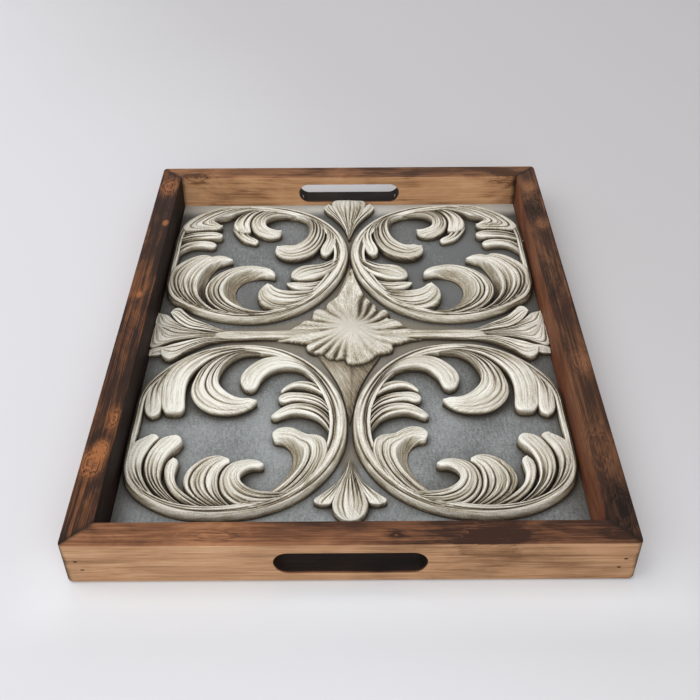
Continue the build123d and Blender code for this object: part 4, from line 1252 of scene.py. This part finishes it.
@dataclass
class Rosette:
    """The flower at the crossing: a scalloped dome that a node tree creases along its folds."""
    edge: Points = (
        (0, 95), (2, 85), (3.8, 76), (6.2, 66), (9, 56), (13, 46), (18.5, 39), (20.3, 34), (20.5, 30),
        (25, 30), (30, 28), (31.5, 24), (30, 20.5), (30.5, 17.5), (35, 16.6), (39, 13.5), (43, 9),
        (49, 6.6), (51, 3.8), (57, 0.8), (60, -3.5), (55, -7.4), (47, -9), (40, -12), (32.5, -15.5),
        (32.5, -21), (29, -24.5), (23, -26), (18.5, -28.5), (15.5, -33), (9, -37.5), (2.5, -39), (-4, -37),
        (-6.5, -32.5), (-12, -33.2), (-19, -31), (-23, -26.5), (-25.5, -25.3), (-31, -25), (-35, -21),
        (-36.2, -17), (-35.5, -14), (-42, -11.5), (-50, -9.4), (-58, -7.6), (-63, -3.5), (-60, 0.5),
        (-53, 3.7), (-47, 7), (-42, 12), (-38, 15.7), (-33, 19), (-32, 24), (-31, 29), (-26, 31.3),
        (-21.5, 32), (-20.6, 37), (-17, 43.5), (-12, 48.5), (-9, 56), (-6.2, 66), (-3.8, 76), (-2, 85),
    )
    folds: tuple[Fold, ...] = (
        Fold(92, 0.5), Fold(76, 1.5), Fold(64, 1.7), Fold(50, 1.5), Fold(35, 2.3), Fold(22, 0.7),
        Fold(6, 1.9), Fold(-9, 1.0), Fold(-26, 0.9), Fold(-41, 0.5), Fold(-58, 0.9), Fold(-74, 0.5),
        Fold(-86, 0.6), Fold(-101, 1.3), Fold(-115, 1.6), Fold(-131, 1.8), Fold(-146, 1.6), Fold(-161, 1.2),
        Fold(176, 1.7), Fold(164, 0.8), Fold(151, 1.2), Fold(138, 0.6), Fold(124, 1.1), Fold(108, 0.7),
    )
    centre: Point = (1.7, 0.3)
    peak: float = 10.2
    rim: float = 5.0
    spread: float = 17.0      # how wide the dome in the middle is
    spokes: int = 560
    rings: int = 44

    def creases(self) -> bpy.types.Object:
        """One point on a unit circle for each fold, with its depth."""
        turn = np.radians([fold.bearing for fold in self.folds])
        mesh = bpy.data.meshes.new("folds")
        mesh.from_pydata(np.stack([np.cos(turn), np.sin(turn), 0 * turn], axis=1).tolist(), [], [])
        stored(mesh, "depth", [fold.depth for fold in self.folds])
        made = bpy.data.objects.new("folds", mesh)
        bpy.context.scene.collection.objects.link(made)
        return made

    def body(self, paint: bpy.types.Material, at: Vector) -> bpy.types.Object:
        """The smooth dome with its scalloped edge.

        Args:
            paint: its finish.
            at: its middle, on the panel, in metres.

        Returns:
            The dome, with its bearing and reach stored at each corner.
        """
        edge = spaced(follow(self.edge, closed=True), np.linspace(0, 1, self.spokes, endpoint=False))
        share = np.linspace(0.004, 1, self.rings) ** 0.9
        flat = share[:, None, None] * edge[None]
        reach = np.linalg.norm(flat, axis=2)
        gap = np.clip((1 - share[:, None]) * np.linalg.norm(edge, axis=1)[None] / 2.0, 0, 1)
        turned = rolled(gap)
        height = self.rim + (self.peak - self.rim) * np.exp(-(reach / self.spread) ** 2) - 1.5 * turned
        arm = smooth(flat[..., 1], 26.0, 42.0)
        height = height - 3.4 * smooth(reach, 42.0, 64.0) * (1 - arm) - 3.0 * smooth(reach, 44.0, 96.0) * arm
        grid = np.concatenate([np.dstack([flat, height]), np.dstack([flat[-1:] * 1.01, 0 * height[-1:]])])
        bearing = np.arctan2(grid[..., 1], grid[..., 0])
        out = np.linalg.norm(grid[..., :2], axis=2)
        shell = Shell()
        # Painted shade on the rolled edge, darker still on the skirt down to the panel.
        hollow = 0.26 + np.concatenate([0.2 * turned, np.full((1, self.spokes), 0.6)])
        shell.add(grid, np.dstack([out, 40 * np.abs(bearing)]), hollow)
        made = shell.piece("rosette_body", paint, shift=at)
        corners = np.array([v.co[:] for v in made.data.vertices]) - np.array(at)
        columns = {"bearing": np.arctan2(corners[:, 1], corners[:, 0]),
                   "reach": np.linalg.norm(corners[:, :2], axis=1) / MM,
                   "top": smooth(corners[:, 2] / MM, 0.5, 2.5)}
        for label, values in columns.items():
            stored(made.data, label, values)
        return made

    @staticmethod
    def tree() -> Growth:
        """The tree that creases the dome along its folds, deeper and wider towards the edge."""
        g = Growth("folded_petals", {"Body": "NodeSocketGeometry", "Folds": "NodeSocketObject",
                                     "Paint": "NodeSocketMaterial", "Depth": "NodeSocketFloat",
                                     "Width": "NodeSocketFloat"})
        folds = g.node("GeometryNodeObjectInfo", None, {"Object": g.given("Folds")}, "Geometry")
        bearing, reach = g.stored("bearing"), g.stored("reach")
        swung = bearing + g.sine(reach * 0.11) * 0.05
        heading = g.node("ShaderNodeCombineXYZ", None, {0: g.sine(swung + math.pi / 2), 1: g.sine(swung)})
        nearest = g.node("GeometryNodeSampleNearest", None, {"Geometry": folds, "Sample Position": heading})
        there = g.node("GeometryNodeSampleIndex", {"data_type": "FLOAT_VECTOR"},
                       {"Geometry": folds, "Value": g.node("GeometryNodeInputPosition"), "Index": nearest})
        depth = g.node("GeometryNodeSampleIndex", {"data_type": "FLOAT"},
                       {"Geometry": folds, "Value": g.stored("depth"), "Index": nearest})
        apart = g.node("ShaderNodeVectorMath", {"operation": "DISTANCE"}, {0: heading, 1: there}, "Value")
        wide = apart * reach / (g.given("Width") * (0.6 + reach * 0.02))
        narrow = g.bell(wide)
        fade = reach.step(7.0, 32.0)
        hair = g.noise(g.node("ShaderNodeCombineXYZ", None, {0: bearing, 1: reach * 0.01}), 42.0, 3.0) - 0.5
        cut = (narrow * depth + g.bell(wide * 0.4) * depth * 0.35 + hair * 0.5) * fade * g.stored("top")
        shift = g.node("ShaderNodeCombineXYZ", None, {2: cut * g.given("Depth") * -MM})
        moved = g.node("GeometryNodeSetPosition", None, {"Geometry": g.given("Body"), "Offset": shift})
        # The stored painted shade, with glazing added in the creases.
        glaze_and_shade = g.stored("hollow") + (narrow * (depth * depth * 0.3).least(0.62) + hair * 1.0) * fade
        told = g.node("GeometryNodeStoreNamedAttribute", {"data_type": "FLOAT", "domain": "POINT"},
                      {"Geometry": moved, "Name": "hollow", "Value": glaze_and_shade})
        real = g.node("GeometryNodeRealizeInstances", None, {0: told})
        g.end(g.node("GeometryNodeSetMaterial", None, {"Geometry": real, "Material": g.given("Paint")}))
        return g

    def build(self, name: str, paint: bpy.types.Material, origin: Vector) -> bpy.types.Object:
        """Makes the flower.

        Args:
            name: its name.
            paint: its finish.
            origin: the crossing, on the panel, in metres.

        Returns:
            The flower.
        """
        body = self.body(paint, origin + Vector((self.centre[0] * MM, self.centre[1] * MM, 0)))
        folds = self.creases()
        grown = self.tree().grow(body, {"Folds": folds, "Paint": paint, "Depth": 0.85, "Width": 1.5})
        for spare in (body, folds):
            bpy.data.objects.remove(spare)
        return finished(name, grown)


@dataclass
class Relief:
    """The mouldings on the ground panel: scrolls, fans, spurs and the rosette."""
    paint: bpy.types.Material
    rail_gap: float = 0.4     # millimetres left between a moulding and a rail
    cross: Point = (0.0, 8.0)  # the crossing's place on the panel, in millimetres

    def well(self) -> tuple[Vector, Vector]:
        """The lowest and highest corners of the space between the rails, over the ground panel."""
        low = Vector((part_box("rail_left")[1].x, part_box("rail_front")[1].y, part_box("ground_panel")[1].z))
        high = Vector((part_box("rail_right")[0].x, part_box("rail_back")[0].y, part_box("rail_back")[1].z))
        return low, high

    def fitter(self, origin: Vector, hand: Hand) -> Callable[[np.ndarray], np.ndarray]:
        """Makes the function that keeps drawing points inside the rails.

        Args:
            origin: the drawing's own origin, in metres.
            hand: the half it is drawn for.

        Returns:
            A function of points in millimetres.
        """
        low, high = self.well()
        reach = (high.x if hand is Hand.RIGHT else -low.x) - abs(origin.x)
        bottom, top = (low.y - origin.y) / MM + self.rail_gap, (high.y - origin.y) / MM - self.rail_gap
        side = reach / MM - self.rail_gap

        def fit(points: np.ndarray) -> np.ndarray:
            """Keeps the points inside."""
            return np.stack([np.minimum(points[..., 0], side), np.clip(points[..., 1], bottom, top)], axis=-1)
        return fit

    def settle(self, made: bpy.types.Object, node: str) -> bpy.types.Object:
        """Puts a finished moulding in the frame, in place of its plain solid.

        Args:
            made: the moulding.
            node: the plain solid it replaces.

        Returns:
            The same moulding.
        """
        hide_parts(node)
        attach(made, "root")
        LOG.info("%s: %d faces", made.name, len(made.data.polygons))
        return made

    def crossing(self) -> Vector:
        """The crossing's place, on the panel."""
        return Vector((self.cross[0] * MM, self.cross[1] * MM, self.well()[0].z))

    def scroll(self, node: str, ring: Points, leaves: tuple[Leaf, ...], hand: Hand) -> bpy.types.Object:
        """A leaf scroll.

        Args:
            node: the plain solid it replaces.
            ring: the ring's outer edge.
            leaves: its leaves.
            hand: which half it is on.

        Returns:
            The scroll.
        """
        low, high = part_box(node)
        edge = np.array(ring)
        near = low.x if hand is Hand.RIGHT else -high.x
        origin = Vector((hand.value * (near - edge[:, 0].min() * MM), low.y - edge[:, 1].min() * MM,
                         self.well()[0].z))
        shell = Shell()
        fit = self.fitter(origin, hand)
        RingBand(ring).build(shell, fit)
        for i, leaf in enumerate(leaves):
            leaf.build(shell, fit, seed=2 * i + hand.value)
        made = shell.piece(f"{node}_carving", self.paint, hand is Hand.LEFT, origin)
        return self.settle(made, node)

    def spray(self, node: str, leaves: Iterable[Leaf], hand: Hand = Hand.RIGHT) -> bpy.types.Object:
        """A fan or a spur, drawn about the crossing.

        Args:
            node: the plain solid it replaces.
            leaves: its petals.
            hand: which way it points.

        Returns:
            The fan or spur.
        """
        origin = self.crossing()
        shell = Shell()
        fit = self.fitter(origin, hand)
        for i, leaf in enumerate(leaves):
            leaf.build(shell, fit, seed=40 + 3 * i + hand.value)
        return self.settle(shell.piece(f"{node}_carving", self.paint, hand is Hand.LEFT, origin), node)

    def build(self) -> None:
        """Makes every moulding."""
        for hand, side in ((Hand.RIGHT, "right"), (Hand.LEFT, "left")):
            self.scroll(f"scroll_front_{side}", FRONT_RING, FRONT_LEAVES, hand)
            self.scroll(f"scroll_back_{side}", BACK_RING, BACK_LEAVES, hand)
            self.spray(f"fan_{side}", SIDE_FAN, hand)
        for node, (side_petal, middle_petal) in (("fan_front", FRONT_FAN), ("fan_back", BACK_FAN)):
            self.spray(node, (side_petal, side_petal.mirrored(), middle_petal))
        self.spray("spur_back", (BACK_SPUR,))
        self.spray("spur_front", (FRONT_SPUR,))
        self.settle(Rosette().build("rosette_carving", self.paint, self.crossing()), "rosette")


@dataclass(frozen=True)
class Lamp:
    """A soft square light: its name, its place and side in metres, and its power in watts."""
    name: str
    at: tuple[float, float, float]
    size: float
    watts: float

    def hang(self) -> None:
        """Hangs it, aimed at the tray."""
        lamp = bpy.data.lights.new(self.name, "AREA")
        lamp.shape = "SQUARE"
        lamp.size = self.size
        lamp.energy = self.watts
        made = bpy.data.objects.new(self.name, lamp)
        made.location = self.at
        made.rotation_euler = (-Vector(self.at)).to_track_quat("-Z", "Y").to_euler()
        bpy.context.scene.collection.objects.link(made)


@dataclass
class Studio:
    """The pale floor, soft lights and camera."""
    floor_half: float = 4.0
    floor_level: float = -0.0002
    lamps: tuple[Lamp, ...] = (
        Lamp("key", (-1.3, -0.3, 2.2), 2.2, 34.0),
        Lamp("rim", (-0.3, 1.9, 1.7), 1.6, 14.0),
        Lamp("front", (0.3, -2.0, 1.3), 1.8, 27.0),
    )
    sky: Colour = shade(238, 238, 240)
    sky_strength: float = 0.56
    eye: tuple[float, float, float] = (0.001412, -0.608968, 0.505902)
    pitch: float = -39.838    # degrees; below the horizon is negative
    yaw: float = -0.113
    roll: float = -0.425
    lens: float = 50.41

    def build(self) -> None:
        """Makes them all."""
        self.floor()
        for lamp in self.lamps:
            lamp.hang()
        world = bpy.data.worlds.new("studio")
        bpy.context.scene.world = world
        world.use_nodes = True
        background = world.node_tree.nodes["Background"]
        background.inputs["Color"].default_value = (*self.sky, 1.0)
        background.inputs["Strength"].default_value = self.sky_strength
        self.camera()

    def floor(self) -> None:
        """A pale floor under the tray."""
        corners = ((-1, -1), (1, -1), (1, 1), (-1, 1))
        mesh = bpy.data.meshes.new("floor")
        mesh.from_pydata([(x * self.floor_half, y * self.floor_half, self.floor_level) for x, y in corners],
                         [], [(0, 1, 2, 3)])
        mesh.materials.append(TablePaint().material())
        made = bpy.data.objects.new("floor", mesh)
        bpy.context.scene.collection.objects.link(made)

    def camera(self) -> None:
        """The camera, above the front edge and looking down along the tray."""
        pitch, yaw, roll = (math.radians(angle) for angle in (self.pitch, self.yaw, self.roll))
        level = Vector((math.sin(yaw), math.cos(yaw), 0))
        forward = level * math.cos(pitch) + Vector((0, 0, math.sin(pitch)))
        flat_right = Vector((math.cos(yaw), -math.sin(yaw), 0))
        flat_up = flat_right.cross(forward)
        right = flat_right * math.cos(roll) + flat_up * math.sin(roll)
        up = flat_up * math.cos(roll) - flat_right * math.sin(roll)
        data = bpy.data.cameras.new("camera")
        data.sensor_width = 36.0
        data.lens = self.lens
        made = bpy.data.objects.new("camera", data)
        turn = Matrix((right, up, -forward)).transposed().to_4x4()
        made.matrix_world = Matrix.Translation(self.eye) @ turn
        bpy.context.scene.collection.objects.link(made)
        bpy.context.scene.camera = made
        bpy.context.scene.view_settings.view_transform = "Standard"


@dataclass
class Timber:
    """The rails, base, ground panel and nails, which keep their own shapes and get their finishes."""

    def dress(self) -> None:
        """Gives each its finish."""
        half_x, half_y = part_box("rail_right")[1].x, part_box("rail_back")[1].y
        finishes = {
            "rail_front": StainedTimber(
                "front_rail_stain", Run.ALONG_X, 1.0, half_x, half_y, slot=True, drift=0.28,
                top=(shade(54, 33, 24), shade(116, 76, 51), shade(160, 112, 78)),
                outer=(shade(110, 78, 52), shade(172, 132, 98), shade(204, 166, 130)),
                inner=(shade(60, 34, 24), shade(110, 62, 40), shade(140, 86, 56)),
                knots=(Knot(-0.085, -0.222, 0.018, 0.6), Knot(0.08, -0.220, 0.026, -0.6),
                       Knot(0.028, -0.222, 0.005, -1.6), Knot(0.165, -0.221, 0.010, -0.5))),
            "rail_back": StainedTimber(
                "back_rail_stain_and_light", Run.ALONG_X, 4.0, half_x, half_y, slot=True, drift=0.3,
                top=(shade(70, 45, 31), shade(132, 90, 60), shade(172, 126, 88)),
                outer=(shade(86, 56, 38), shade(130, 90, 60), shade(162, 120, 86)),
                # inner face: the stain made lighter with painted light
                inner=(shade(120, 82, 56), shade(182, 138, 100), shade(206, 164, 124)),
                knots=(Knot(-0.145, 0.211, 0.010, -1.2), Knot(0.15, 0.211, 0.012, -1.0))),
            "rail_left": StainedTimber(
                "left_rail_stain_and_shade", Run.ALONG_Y, 7.0, half_y, half_x, figure=0.6, patchy=0.9,
                top=(shade(22, 14, 10), shade(50, 31, 22), shade(150, 94, 54)),
                # inner face: the stain darkened almost to black with painted shade
                inner=(shade(16, 10, 9), shade(34, 22, 18), shade(58, 38, 29)),
                knots=(Knot(-0.160, -0.171, 0.010, 1.1), Knot(-0.147, -0.166, 0.006, 1.2),
                       Knot(-0.118, -0.163, 0.009, 0.7), Knot(0.026, -0.169, 0.0035, 1.6),
                       Knot(0.132, -0.163, 0.003, 1.5), Knot(0.195, -0.168, 0.012, 0.8))),
            "rail_right": StainedTimber(
                "right_rail_stain", Run.ALONG_Y, 11.0, half_y, half_x, figure=0.6, patchy=1.1,
                top=(shade(26, 16, 12), shade(62, 40, 28), shade(132, 88, 58)),
                inner=(shade(66, 38, 27), shade(114, 69, 47), shade(152, 103, 71)),
                knots=(Knot(0.190, 0.168, 0.008, 1.1), Knot(0.128, 0.170, 0.006, 1.1),
                       Knot(-0.15, 0.166, 0.020, 0.4), Knot(-0.06, 0.170, 0.012, 0.5),
                       Knot(0.05, 0.169, 0.022, -0.5), Knot(0.160, 0.169, 0.016, -0.8),
                       Knot(-0.205, 0.169, 0.014, -0.8))),
            "base_board": Plywood(),
            "ground_panel": GroundPaint(),
            "corner_brads_front": NailSteel("stained_brad", shade(60, 50, 44), shade(28, 22, 19)),
            "corner_brads_back": NailSteel("stained_brad_back", shade(60, 50, 44), shade(28, 22, 19)),
            "base_pins": NailSteel("bright_pin", shade(190, 188, 184), shade(130, 128, 124)),
        }
        for node, finish in finishes.items():
            self.cover(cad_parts[node], finish.material())
            LOG.info("%s: %s", node, finish.name)

    @staticmethod
    def cover(made: bpy.types.Object, material: bpy.types.Material) -> None:
        """Puts one material in all of an object's slots."""
        made.data.materials.clear()
        made.data.materials.append(material)


def main() -> None:
    """Builds the tray's looks around its frame."""
    logging.basicConfig(level=logging.INFO, format="%(name)s: %(message)s")
    Studio().build()
    Timber().dress()
    Relief(ReliefPaint().material()).build()
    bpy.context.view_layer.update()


if __name__ == "__main__":
    main()
